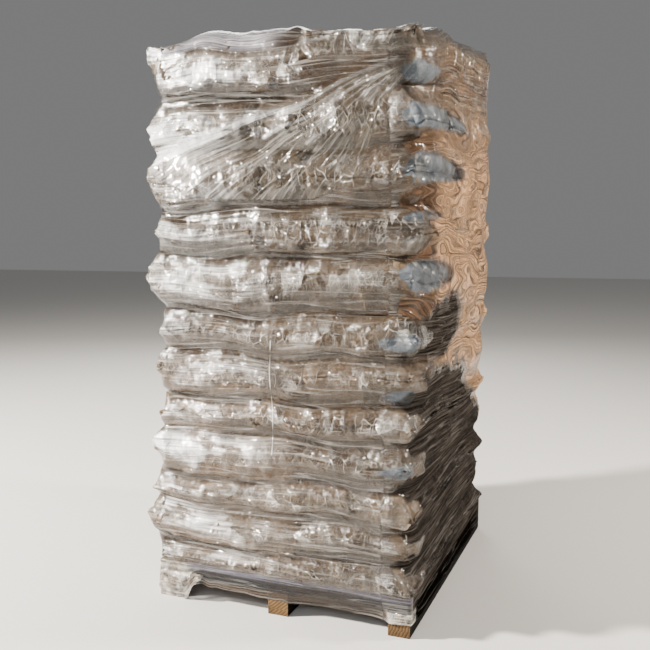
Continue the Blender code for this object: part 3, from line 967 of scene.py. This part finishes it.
# %% Crease the film
big = creases(s_grid / 0.09, z_grid / 0.06, 61)
small = creases(s_grid / 0.020, z_grid / 0.036, 62)
calm = 1 - 0.7 * ease(way[..., 0], 0.7, 1.0) * shaded(base[..., 1], base[..., 2])
film = film + (0.3 + 0.7 * nose) * (0.013 * big + 0.004 * small) * calm * (z_grid > DECK_TOP)
bulge = np.sin(np.clip((base[..., 2] - 0.005) / 0.105, 0, 1) * math.pi)
ahead = np.clip(-way[..., 1], 0, 1) ** 4
knob = 0.022 * bulge + 0.013 * creases(s_grid / 0.020, z_grid / 0.018, 63)
film += bunch * ahead * knob + flap * (0.004 + 0.003 * small)
film = np.maximum(film, under + 0.0008)
placed = base + way * film[..., None]
print("film drawn after", round(time.time() - started, 1), "s")

# %% [markdown]
# ## Pallet wood
# The pallet is rough-sawn pine. Growth rings are cylinders round the tree's pith, so one pattern
# of rings in three dimensions shows as arcs on the sawn ends and as long grain on the faces. A
# flat picture of wood would need its own place on each of the faces. Each piece takes its own
# place in the log. Sawn wood that has stood outdoors is dull, so its roughness is 0.75.

# %% Rings and fibres of the pine
# Rings are drawn 10 mm apart, and fibres 3 mm wide, both coarser than real ones, to show here.
RINGS = 95.0
GRAIN = 30.0


def pine_grain(tree, place, crosswise):
    """Growth rings and fibres as one tone, for boards that run front to back or crosswise."""
    shift = add(tree, "VectorMath MULTIPLY", add(tree, "ObjectInfo", out=5), (0.37, 0.11, -0.37))
    moved = add(tree, "VectorMath ADD", place, shift)
    flat = (2.0, GRAIN, GRAIN) if crosswise else (GRAIN, 2.0, GRAIN)
    bend = add(tree, "VectorMath MULTIPLY", moved, tuple(v / 4 for v in flat))
    bend = add(tree, "TexNoise", bend, Scale=1.0, Detail=2.0)
    log = add(tree, "VectorMath MULTIPLY", moved, (0.0, 1.0, 1.0) if crosswise else (1.0, 0.0, 1.0))
    from_pith = add(tree, "VectorMath ADD", log, (0.06, 0.06, -0.11))
    far = add(tree, "VectorMath LENGTH", from_pith, out=1)
    far = add(tree, "Math ADD", far, add(tree, "Math MULTIPLY", bend, 0.02))
    ring = add(tree, "Math FRACT", add(tree, "Math MULTIPLY", far, RINGS))
    fibre = add(tree, "VectorMath MULTIPLY", moved, tuple(v * 12 for v in flat))
    fibre = add(tree, "TexNoise", fibre, Scale=1.0, Detail=3.0)
    ring_part = add(tree, "Math MULTIPLY", ring, 0.6)
    return add(tree, "Math ADD", ring_part, add(tree, "Math MULTIPLY", fibre, 0.4))


print("rings", round(1000 / RINGS, 1), "mm apart, fibres", round(1000 / (GRAIN * 12), 1), "mm wide")

# %% [markdown]
# ## Dirt and painted shade on the pallet
# Weather has greyed the pallet and dirt lies on it in clouds of about 70 mm. The pieces on the
# right get painted shade, their sides more than their sawn front ends, and so does every face
# that looks to the right. One mask adds the dirt and the painted shade, and it mixes the wood's
# own colour with a near black.

# %% The pine finish, on every pallet piece
def pine_dirt_and_shade(tree, place):
    """How soiled the wood is in clouds, plus painted shade on the right pieces and on faces that look right.
    """
    dirt = add(tree, "TexNoise", Vector=place, Scale=14.0, Detail=5.0)
    dirt = add(tree, "MapRange", dirt, 0.42, 0.68, 0.0, 0.6)
    # Painted shade on faces that look to the right, and on the sides of the right pieces
    facing_right = add(tree, "SeparateXYZ", add(tree, "NewGeometry", out=1), out=0)
    facing_right = add(tree, "MapRange", facing_right, 0.5, 0.9)
    far_right = add(tree, "MapRange", add(tree, "SeparateXYZ", place), 0.40, 0.43)
    not_end = add(tree, "SeparateXYZ", add(tree, "NewGeometry", out=1), out=1)
    not_end = add(tree, "MapRange", not_end, -0.9, -0.5)
    shaded_outer_side = add(tree, "Math MAXIMUM", facing_right, add(tree, "Math MULTIPLY", far_right, not_end))
    painted_right_shade = add(tree, "Math MAXIMUM", shaded_outer_side, add(tree, "Math MULTIPLY", far_right, 0.3))
    return add(tree, "Math ADD", dirt, painted_right_shade)


def pine(name, crosswise):
    """Sawn, weathered pine."""
    made, tree, shader = finish(name, "#8a6a45", 0.75)
    shader.inputs["Specular IOR Level"].default_value = 0.1
    place = add(tree, "TexCoord", out=3)
    tone = pine_grain(tree, place, crosswise)
    wood = add(tree, "ValToRGB", tone, stops=((0.1, "#8f7250"), (0.4, "#7a5f40"), (0.62, "#5f4a32"),
                                              (0.85, "#3b2e20")))
    colour = add(tree, "Mix", pine_dirt_and_shade(tree, place), at={6: wood, 7: linear("#0d0b0a")},
                 settings={"data_type": "RGBA"}, out=2)
    tree.links.new(colour, shader.inputs["Base Color"])
    rough = add(tree, "Bump", Strength=0.5, Distance=0.001, Height=tone)
    tree.links.new(rough, shader.inputs["Normal"])
    return made


lengthways, crossways = pine("pine_boards", False), pine("pine_cross_boards", True)
pallet = [(name, thing) for name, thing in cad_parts.items() if name.startswith(PALLET_PARTS)]
for name, thing in pallet:
    thing.data.materials.clear()
    thing.data.materials.append(crossways if name.startswith("cross") else lengthways)
print(len(pallet), "pieces of pine")

# %% [markdown]
# ## Where the film is milky, and painted highlights
# Polyethylene film turns milky where it is drawn out or lies in many creased turns, and stays
# clear where it bridges a gap. On the left half of the front the lit slopes are painted white,
# partly as milky film and partly as a painted highlight, by different amounts in each layer and
# in patches. Each of these is a number from 0 to 1 at every point of the grid, which can be
# checked and combined before any node is made.

# %% Milky patches and painted highlights
# How white each layer is painted, as milky film and painted highlight: one value for each
# layer from the bottom up, and one for the film above them.
MILK_AND_HIGHLIGHT = np.array([0.6, 1.0, 0.7, 1.0, 0.6, 0.8, 0.4, 0.9, 0.6, 0.35, 0.9, 1.0, 1.0])
x_grid, y_grid = placed[..., 0], placed[..., 1]
on_side = way[..., 2] < 0.7
layer_milk_and_highlight = MILK_AND_HIGHLIGHT[np.searchsorted(LAYER_TOPS, z_grid).clip(0, len(LAYERS))]
patchy = creases(s_grid / 0.13, z_grid / 0.05, 71) + 0.6 * creases(s_grid / 0.03, z_grid / 0.016, 72)
patchy = ease(patchy, -0.22, 0.10)
# White for milky film and for a painted highlight, on lit slopes of the front's left half
milk_and_highlight = np.where(front, ease(-x_grid, -0.15, 0.40), np.where(right, 0.0, 0.7)) * on_side
milk_and_highlight = milk_and_highlight * layer_milk_and_highlight * (0.04 + 0.96 * lit) * (0.15 + 0.85 * patchy) * (1 - valley_shade)
print("milky share of the front", round(float(milk_and_highlight[front].mean()), 2))

# %% [markdown]
# ## The fan below the ropes
# Under the ropes the film is pulled into a fan that spreads from the top right corner down to
# the left. It is clearer than the rest, and its streaks point to that corner. The ropes
# themselves are film rolled up tight, so they are the whitest lines on the load, and towards the
# left they are painted whiter still, as a highlight.

# %% The fan and the ropes
FAN_X, FAN_Z = 0.475, 1.965
fan_reach = np.hypot(FAN_Z - z_grid, FAN_X - x_grid)
angle = np.arctan2(FAN_Z - z_grid, FAN_X - x_grid)
fan = np.where(front & (z_grid > 1.50) & (z_grid < 1.97), 1.0, 0.0)
fan *= (angle > 0.30) & (angle < 1.1) & (fan_reach < 1.05 - 0.75 * (angle - 0.30))
fan_milk_and_highlight = fan * ease(-x_grid, 0.0, 0.35) * (0.02 + 0.28 * patchy)
milk_and_highlight = np.maximum(0.3 * milk_and_highlight * fan + milk_and_highlight * (1 - fan), fan_milk_and_highlight)
rope = ease(0.011 + 0.018 * ease(-x_grid, 0.0, 0.4) - rope_gap, 0, 0.008)
# Whiter towards the left: a painted highlight on the ropes
rope = rope * (0.35 + 0.65 * ease(-x_grid, -0.3, 0.1))
milk_and_highlight = np.maximum(milk_and_highlight, rope)
print("the fan covers", round(float(fan[front].mean()), 2), "of the front")

# %% [markdown]
# ## Sun and shade painted on the right side's film
# The painted sunlight and the painted shade of the right side begin behind the near corner, and
# a ragged line along the noses parts them from it. Inside the painted sunlight, a strip next to
# the noses gets painted shade, and a band of painted shadow lies across the near corner. The
# corner itself is clear film over brown paper.

# %% Painted sunlight and shade on the right side's film
ragged = 1 + 0.6 * creases(s_grid / 0.05, z_grid / 0.03, 33)
jagged = nose * (0.125 + 0.045 * ease(z_grid, 0.9, 1.2)) * ragged
turned = ease(y_grid + 0.585 - jagged, 0, 0.012) * (x_grid > 0.38) * (way[..., 0] > 0.3) * on_side
# dark: painted shade on the right side's film; sun: painted sunlight
dark = turned * shaded(y_grid, z_grid)
sun = turned * sunlit(y_grid, z_grid) * (1 - 0.8 * dark)
# A strip of painted shade next to the noses, inside the painted sunlight
shade_beside_noses = sun * ease(-y_grid, 0.34, 0.47)
near_corner = ease(way[..., 0], 0.1, 0.5) * ease(-y_grid, 0.2, 0.4) * (1 - dark)
# A band of painted shadow across the near corner
shadow = near_corner * np.exp(-((z_grid - 1.07) / 0.08) ** 2)
inked = ease(ink_field(placed), 0.46, 0.56)
print("bright", round(float(sun[right].mean()), 2), "and dark", round(float(dark[right].mean()), 2),
      "of the right side")

# %% [markdown]
# ## The hem, the gathered end and the crown
# Round the pallet the film lies in many turns and looks grey. Its gathered end, the flap at the
# right and the fold at the left end of the hem are pale and crumpled. Along the load's front top
# edge the film is stretched over the sacks and gets a painted sheen on the left and painted shade
# on the right, and the top rows towards the right get more painted shade.

# %% Masks of the hem, the gathered end and the crown
band = (z_grid < DECK_TOP + 0.004) * (1 - bunch) * (1 - flap) * (1 - dark)
end_fold = band * front * ease(-x_grid, 0.34, 0.43)
band = band - end_fold
gathered = np.maximum.reduce([bunch, flap, 0.8 * end_fold])
fuzz = ease(creases(s_grid / 0.016, z_grid / 0.012, 91), -0.35, 0.35)
# crown: painted sheen on its left part and painted shade on its right part
crown = front * ease(path_grid, LOAD_TOP - 0.045, LOAD_TOP - 0.02)
# rim_shade: painted shade on the top rows towards the right
rim_shade = ease(x_grid, 0.10, 0.28) * ease(path_grid, LOAD_TOP - 0.075, LOAD_TOP - 0.045)
right_half = ease(x_grid, -0.40, 0.35) * front
warm = 0.5 * ease(1.25 - z_grid, 0, 0.5) * (1 - band)
print("the hem's turns cover", round(float(band.mean()), 3), "of the film")

# %% [markdown]
# ## The film's tint
# Film has hardly a colour of its own. What the eye sees is the paper that clings to it, haze,
# and what it mirrors. A path tracer could find all this with dozens of clear layers, very
# slowly, so one sheet is tinted instead: a dark brown to begin with, and one colour after
# another mixed over it, each where its mask says. Many of these colours are painted light and
# shade: lighter slopes that face up, painted shade in the valleys, a painted highlight in the
# white, painted sunlight and shade on the right side, a painted shadow at the near corner, a
# painted sheen and painted shade along the crown, and painted shade low on the hem.

# %% Mix the tint at each point
CLEAR_BROWN = "#291f17"
TINTS = [
    # Painted light on slopes that face up, a warmer brown low down, painted shade in the valleys
    ("#5e4e3b", lit), ("#76583a", warm), ("#1d1611", 0.75 * valley_shade * (1 - fan)),
    # Milky film and painted highlight in white, and a darker right half of the front
    ("#ffffff", milk_and_highlight), ("#3a2f24", 0.84 * right_half),
    # Clear film at the near corner, and a band of painted shadow across it
    ("#2a2521", (0.45 + 0.4 * ease(z_grid, 0.85, 1.05)) * near_corner), ("#15100d", 0.8 * shadow),
    # Painted sunlight, painted shade next to the noses, and painted shade on the right side
    ("#a68260", sun), ("#41322a", 0.85 * shade_beside_noses), ("#302c29", dark),
    # Printed patches, and painted shade on the top rows towards the right
    ("#6a717c", 0.8 * inked * (1 - dark)), ("#36352e", 0.85 * rim_shade * (way[..., 2] < 0.97)),
    ("#3f382d", 0.75 * fan * (1 - rope) * ease(x_grid, -0.25, 0.0)),
    # Painted sheen on the crown's left part, painted shade on its right part
    ("#a5a2ab", 0.8 * crown * ease(-x_grid, -0.05, 0.1)),
    ("#4a4037", 0.7 * crown * ease(x_grid, 0.1, 0.2)),
    # The hem's grey turns, with a dark stripe of painted shade under the deck boards
    ("#5a5762", band), ("#141216", band * ease(0.126 - base[..., 2], 0, 0.006)),
    ("#3a2e24", band * ease(0.088 - base[..., 2], 0, 0.006)),
    # Painted shade, near black, low on the right side
    ("#080706", (way[..., 0] > 0.9) * ease(0.11 - base[..., 2], 0, 0.02)),
    ("#b5afa2", gathered * (0.25 + 0.75 * fuzz))]


def mixed(under_colour, over_colour, share):
    """One colour over another, by a share at each point."""
    return under_colour + (np.array(linear(over_colour)) - under_colour) * share[..., None]


tint = np.broadcast_to(np.array(linear(CLEAR_BROWN)), base.shape[:2] + (4,))
for shade, share in TINTS:
    tint = mixed(tint, shade, share)
# The fourth number says how strongly the streaks change the tone.
swing = 0.68 + 0.2 * (sun - shade_beside_noses) + 0.4 * dark
tint = np.concatenate([tint[..., :3], swing[..., None]], -1)
print(len(TINTS), "tints mixed, mean of the front", np.round(tint[front].mean(0)[:3], 3))

# %% [markdown]
# ## Haze, creases and gloss
# Three more numbers go with each point: how much the film hides, how creased it is, and how
# strongly it mirrors. It hides most where it is milky or painted white as a highlight, gathered,
# or in the painted sunlight, shade and shadow, and least over the near corner and the printed
# patches.

# %% Haze, creases and gloss at each point
haze = 0.66 - 0.16 * lit + 0.5 * milk_and_highlight - 0.35 * near_corner + 0.3 * dark + 0.5 * shadow
haze = haze + (0.80 - haze) * sun
haze = haze * (1 - (0.4 + 0.4 * ease(z_grid, 1.0, 1.2)) * np.maximum(inked, spot_field(placed)))
haze = np.where(band > 0, 0.85, haze) + 0.3 * gathered * fuzz
crumple = np.maximum(0.25 * lit + 0.75 * nose * (0.4 + 0.6 * lit), gathered)
crumple = crumple * (1 - 0.9 * dark) * (1 - 0.7 * sun) * (1 - 0.6 * crown * (x_grid < 0.05))
gloss = (1 - dark) * (1 - 0.6 * inked) * (1 - 0.6 * band) * (1 - 0.88 * sun)
gloss = gloss * (1 - 0.45 * right_half * ease(z_grid, 0.5, 0.8))
print("mean haze", round(float(haze.mean()), 2), "and gloss", round(float(gloss.mean()), 2))

# %% [markdown]
# ## The film's finish
# Stretch film is clear polyethylene a few hundredths of a millimetre thick, cast on a polished
# roll, so each layer mirrors. Its IOR is about 1.5, and 1.6 here, since light meets many turns.
# A glass shader would be the true one for a single sheet, but alpha and a smooth coat are
# quick, look right for many turns, and go through the export.

# %% The film's shader, and what its mesh tells it
wrap, tree, shader = finish("stretch_film_polyethylene", "#9a9184", 0.12)
shader.inputs["IOR"].default_value = 1.6
shader.inputs["Coat Roughness"].default_value = 0.06
shader.inputs["Coat IOR"].default_value = 1.6
uv = add(tree, "UVMap")
place = add(tree, "TexCoord", out=3)
on_nose = add(tree, "Attribute", settings={"attribute_name": "nose"}, out=2)
film_haze = add(tree, "Attribute", settings={"attribute_name": "haze"}, out=2)
film_tint = add(tree, "Attribute", settings={"attribute_name": "tint"}, out=0)
film_swing = add(tree, "Attribute", settings={"attribute_name": "tint"}, out=3)
film_gloss = add(tree, "Attribute", settings={"attribute_name": "gloss"}, out=2)
print("film's shader reads", ["nose", "haze", "tint", "gloss"])

# %% [markdown]
# ## Streaks and threads
# Wound in many turns and drawn out, film turns cloudy along fine streaks that run with the web.
# Real ones are down to a fraction of a millimetre, which is too fine to show, so they are drawn
# 9 mm wide and 400 mm long, with finer ones inside. Threads of thicker film run along them, on
# the lines where a second noise crosses its middle value.

# %% The film's streaks
STREAKS = (2.6, 110.0, 1.0)
THREADS = (1.4, 32.0, 1.0)
streak = add(tree, "VectorMath MULTIPLY", uv, STREAKS)
streak = add(tree, "TexNoise", Vector=streak, Scale=1.0, Detail=4.0, Roughness=0.72)
thread = add(tree, "VectorMath MULTIPLY", uv, THREADS)
thread = add(tree, "TexNoise", Vector=thread, Scale=1.0, Detail=2.0)
thread = add(tree, "Math ABSOLUTE", add(tree, "Math SUBTRACT", thread, 0.5))
thread = add(tree, "MapRange", thread, 0.004, 0.026, 1.0, 0.0)
print("streaks", round(1000 / STREAKS[1], 1), "mm wide and", round(1000 / STREAKS[0]), "mm long")

# %% [markdown]
# ## Crackle
# Over every nose the film crackles into short creases. The edges of Voronoi cells are such
# lines. Wide cells of about 40 x 70 mm give the main folds in some places, and finer ones of
# 15 x 37 mm a crackle in the others, and both are bent by a noise so that they aren't straight.

# %% The film's creases
FOLD_CELLS = (26.0, 26.0, 14.0)
CRACKLE_CELLS = (66.0, 66.0, 27.0)
TO_EDGE = {"feature": "DISTANCE_TO_EDGE"}
bend = add(tree, "TexNoise", Vector=place, Scale=14.0, Detail=3.0, out=1)
bent = add(tree, "VectorMath MULTIPLY_ADD", bend, (0.03, 0.03, 0.03), place)
folds_at = add(tree, "VectorMath MULTIPLY", bent, FOLD_CELLS)
edge = add(tree, "TexVoronoi", folds_at, Scale=1.0, settings=TO_EDGE)
edge = add(tree, "MapRange", edge, 0.005, 0.040, 1.0, 0.0)
edge = add(tree, "Math MULTIPLY", edge, add(tree, "MapRange", bend, 0.44, 0.56))
crackle = add(tree, "VectorMath MULTIPLY", bent, CRACKLE_CELLS)
crackle = add(tree, "TexVoronoi", crackle, Scale=1.0, settings=TO_EDGE)
crackle = add(tree, "MapRange", crackle, 0.01, 0.065, 1.0, 0.0)
crackle = add(tree, "Math MULTIPLY", crackle, add(tree, "MapRange", bend, 0.56, 0.46))
crease = add(tree, "Math MAXIMUM", add(tree, "Math MULTIPLY", edge, 0.85),
             add(tree, "Math MULTIPLY", crackle, 0.55))
crease = add(tree, "Math MULTIPLY", crease, on_nose)
# Threads are paler where the gloss number is high, so their white fades in the painted shade and painted
# sunlight of the right side
thread = add(tree, "Math MULTIPLY", thread, add(tree, "MapRange", film_gloss, 0.0, 1.0, 0.10, 0.40))
line = add(tree, "Math MAXIMUM", crease, thread)
print("main folds", round(1000 / FOLD_CELLS[0]), "mm, crackle", round(1000 / CRACKLE_CELLS[0]), "mm apart")

# %% [markdown]
# ## How much shows through
# The clear share is the alpha, and it follows the same streaks, lines and patches as the colour
# and the bump, because on the real film they are one thing. It never gets quite clear or quite
# closed.

# %% The film's clearness
PATCH_CELLS = (13.0, 13.0, 11.0)
patch = add(tree, "VectorMath MULTIPLY", bent, PATCH_CELLS)
patch = add(tree, "MapRange", add(tree, "TexVoronoi", patch, Scale=1.0, out=1), 0.68, 0.70)
patch = add(tree, "Math MULTIPLY", patch, on_nose)
clear = add(tree, "Math ADD", film_haze, add(tree, "MapRange", streak, 0.38, 0.62, -0.17, 0.20))
clear = add(tree, "Math ADD", clear, add(tree, "Math MULTIPLY", line, 0.35))
clear = add(tree, "Math ADD", clear, add(tree, "Math MULTIPLY", patch, 0.2))
clear = add(tree, "Math MAXIMUM", add(tree, "Math MINIMUM", clear, 0.96), 0.05)
tree.links.new(clear, shader.inputs["Alpha"])
print("pale patches up to", round(1000 / PATCH_CELLS[0]), "mm across")

# %% [markdown]
# ## The film's colour
# Streaks make the tint lighter and darker by turns, and creased lines and patches are paler,
# since air is caught under them.

# %% The film's colour and gloss
swinging = add(tree, "MapRange", streak, 0.37, 0.63, -1.0, 1.0)
tone = add(tree, "Math ADD", add(tree, "Math MULTIPLY", swinging, film_swing), 1.0)
tone = add(tree, "VectorMath MULTIPLY", film_tint, tone)
paler = add(tree, "Math ADD", add(tree, "Math MULTIPLY", line, 0.6), add(tree, "Math MULTIPLY", patch, 0.22))
colour = add(tree, "Mix", paler, at={6: tone, 7: linear("#f2efe8")}, settings={"data_type": "RGBA"}, out=2)
tree.links.new(colour, shader.inputs["Base Color"])
tree.links.new(film_gloss, shader.inputs["Coat Weight"])
tree.links.new(add(tree, "Math MULTIPLY", film_gloss, 0.5), shader.inputs["Specular IOR Level"])
print("film has", len(tree.nodes), "nodes so far")

# %% [markdown]
# ## Glints
# The small bright glints are flat facets of film that happen to mirror the lamp. They are
# tipped cells again, as on the paper, much more so on the noses, with finer cells of about
# 11 x 25 mm in them. Streaks and creases then bump the normal.

# %% The film's small facets
level = add(tree, "NewGeometry", out=1)
fine = add(tree, "VectorMath MULTIPLY", place, (90.0, 90.0, 40.0))
tips = add(tree, "MapRange", on_nose, 0.0, 1.0, 0.14, 0.85)
fine_tips = add(tree, "MapRange", on_nose, 0.0, 1.0, 0.06, 0.45)
folded = facets(tree, fine, fine_tips, facets(tree, folds_at, tips, level))
rough = add(tree, "Bump", Strength=0.65, Distance=0.003, Height=streak, Normal=folded)
rough = add(tree, "Bump", Strength=0.7, Distance=0.002, Height=line, Normal=rough)
tree.links.new(rough, shader.inputs["Normal"])
tree.links.new(rough, shader.inputs["Coat Normal"])
print("film has", len(tree.nodes), "nodes")

# %% [markdown]
# ## The way the streaks run
# Streaks follow the web, so they run level round the load, towards the corner in the fan, and
# in long bends on the bright part of the right side. Noise in space would cross the fan and
# the bends, so the UVs do it: one goes along the streaks in metres, the other across them.

# %% UVs that follow the web
swirl = 0.8 * z_grid + 0.085 * soft_noise(s_grid / 0.34, z_grid / 0.09, 81)
swirl = swirl + 0.028 * soft_noise(s_grid / 0.13, z_grid / 0.034, 82)
uneven = path[:, None] + 0.004 * soft_noise(s_grid / 0.2, z_grid / 0.05, 83)
flow_along = np.where(fan > 0, fan_reach, s_grid)
flow_across = np.where(sun > 0.5, swirl, np.where(fan > 0, 0.4 * angle, uneven))
print("UVs run", round(float(flow_along.max()), 2), "m along and",
      round(float(flow_across.max()), 2), "m across")

# %% [markdown]
# ## Three bands of film
# The real film is a narrow web wound many times. One closed sheet over the whole load would
# have too many faces for one piece, so the grid is cut level into three bands. Each upper band
# laps over the one below and starts 1.5 mm outside it, so no gap opens.

# %% Cut the film into three bands
LAP, LAP_OUT = 8, 0.0015
BANDS = ("film_low", "film_middle", "film_high")
ROUND_LOAD, DRAWN = 4.3, 1.05
cuts = [round(k * len(rows) / len(BANDS)) for k in range(len(BANDS) + 1)]


def flat_size(sheet):
    """A band's flat width and length in metres: once round the load, and not yet drawn out."""
    area = sum(p.area for p in sheet.data.polygons)
    return round(area / ROUND_LOAD / DRAWN, 2), ROUND_LOAD


for number, name in enumerate(BANDS):
    first = cuts[number] - (LAP if number else 0)
    last = cuts[number + 1]
    points = placed[first:last].copy()
    if number:
        lift = np.linspace(LAP_OUT, 0, LAP + 1)
        points[:LAP + 1] += way[first:first + LAP + 1] * lift[:, None, None]
    uvs = np.stack([flow_along, flow_across], -1)[first:last]
    sheet = skin("stretch_" + name, settle(points), grid_faces(last - first, len(COLUMNS), True), wrap, uvs,
                 nose=crumple[first:last], haze=haze[first:last], tint=tint[first:last],
                 gloss=gloss[first:last])
    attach(sheet, "root")
    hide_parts("stretch_film")
    print(sheet.name, len(sheet.data.polygons) * 2, "triangles, flat", flat_size(sheet), "m")

# %% [markdown]
# ## A loose strand
# At the middle of the front a thin strand of torn film hangs down over the middle band. It
# needs no cloth: it is a twisted ribbon about 4 mm wide that follows the noses just outside the
# film.

# %% Hang the strand
STRAND_X = -0.017
STRAND_HALF = 0.0019
column = int(np.argmin(np.abs(rim[:, 0] - STRAND_X) + (rim[:, 1] > 0)))
run = np.flatnonzero((heights > 0.59) & (heights < 1.03))
surface = placed[run, column]
outside = np.array([placed[max(r - 7, 0):r + 8, column, 1].min() for r in run])
outside = np.convolve(np.pad(outside, 5, mode="edge"), np.ones(11) / 11, mode="valid") - 0.002
twist = np.linspace(0, 9, len(run))
sideways = surface[:, 0] + 0.006 * np.sin(twist * 0.7)
spine = np.stack([sideways, np.minimum(outside, surface[:, 1] - 0.001), surface[:, 2]], -1)
half = STRAND_HALF * np.stack([np.cos(twist), 0.5 * np.sin(twist), 0 * twist], -1)
ribbon = np.stack([spine - half, spine + half], 1)
ones = np.ones(ribbon.shape[:2])
strand_uvs = np.stack([ones * heights[run][:, None], ones * [0, 0.004]], -1)
strand_tint = np.broadcast_to(np.array(linear("#e9e4da")[:3] + (0.5,)), ones.shape + (4,))
strand = skin("stretch_film_strand", settle(ribbon), grid_faces(len(run), 2, False), wrap, strand_uvs,
              nose=0.6 * ones, haze=ones, tint=strand_tint, gloss=ones)
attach(strand, "root")
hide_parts("stretch_film")
print("strand of", len(run), "rows")

# %% [markdown]
# ## Floor and camera
# A plain pale floor keeps the eye on the load. The camera stands where the photograph was
# taken from: its place, its turn and its focal length in pixels were fitted to the corners of
# the pallet and the load in the picture.

# %% Set the floor and the camera
floor_finish, _, _ = finish("studio_floor", "#dcdad6", 0.9)
floor = skin("floor", [(-30, -30, 0), (30, -30, 0), (30, 30, 0), (-30, 30, 0)], [(0, 1, 2, 3)], floor_finish)

FOCAL_PIXELS, PICTURE_PIXELS, SENSOR = 815.9, 650, 36
YAW, PITCH = 0.3778, 0.0999
eye = bpy.data.cameras.new("camera")
eye.sensor_width = SENSOR
eye.lens = FOCAL_PIXELS / PICTURE_PIXELS * SENSOR
eye.clip_end = 100
camera = bpy.data.objects.new("camera", eye)
bpy.context.scene.collection.objects.link(camera)
look = Vector((-math.sin(YAW) * math.cos(PITCH), math.cos(YAW) * math.cos(PITCH), -math.sin(PITCH)))
camera.location = (1.2189, -3.2039, 1.3566)
camera.rotation_mode = "QUATERNION"
camera.rotation_quaternion = look.to_track_quat("-Z", "Y")
bpy.context.scene.camera = camera
print("camera with a lens of", round(eye.lens, 1), "mm")

# %% [markdown]
# ## Light
# A small bright lamp at the front left draws the creases out, as a low sun does. A large soft
# one in front and the white surroundings fill the shade, and two more light the right side and
# the back. All are round area lamps: a small one gives crisp glints, a large one soft shadows.

# %% Set the lights
def softbox(name, place, target, size, power, colour):
    """A round area lamp that looks at a point."""
    lamp = bpy.data.lights.new(name, "AREA")
    lamp.shape, lamp.size = "DISK", size
    lamp.energy, lamp.color = power, linear(colour)[:3]
    made = bpy.data.objects.new(name, lamp)
    made.location = place
    made.rotation_mode = "QUATERNION"
    made.rotation_quaternion = (Vector(target) - Vector(place)).to_track_quat("-Z", "Y")
    bpy.context.scene.collection.objects.link(made)
    return made


studio = bpy.data.worlds.new("studio")
bpy.context.scene.world = studio
studio.use_nodes = True
studio.node_tree.nodes["Background"].inputs["Color"].default_value = linear("#ffffff")
studio.node_tree.nodes["Background"].inputs["Strength"].default_value = 0.20
lamps = [softbox("key", (-5.2, -3.2, 4.4), (-0.2, -0.4, 1.1), 0.6, 2150, "#fff8ee"),
         softbox("front", (0.6, -6.0, 3.5), (0, 0, 1.1), 2.5, 120, "#f1f3f6"),
         softbox("back", (-2.5, 5.5, 4.5), (0, 0.2, 1.2), 3.0, 200, "#f6f4f0"),
         softbox("side", (4.4, 1.2, 3.2), (0.5, 0.1, 1.6), 0.7, 360, "#fff3e4")]
print(len(lamps), "lamps,", round(sum(lamp.data.energy for lamp in lamps)), "W in all")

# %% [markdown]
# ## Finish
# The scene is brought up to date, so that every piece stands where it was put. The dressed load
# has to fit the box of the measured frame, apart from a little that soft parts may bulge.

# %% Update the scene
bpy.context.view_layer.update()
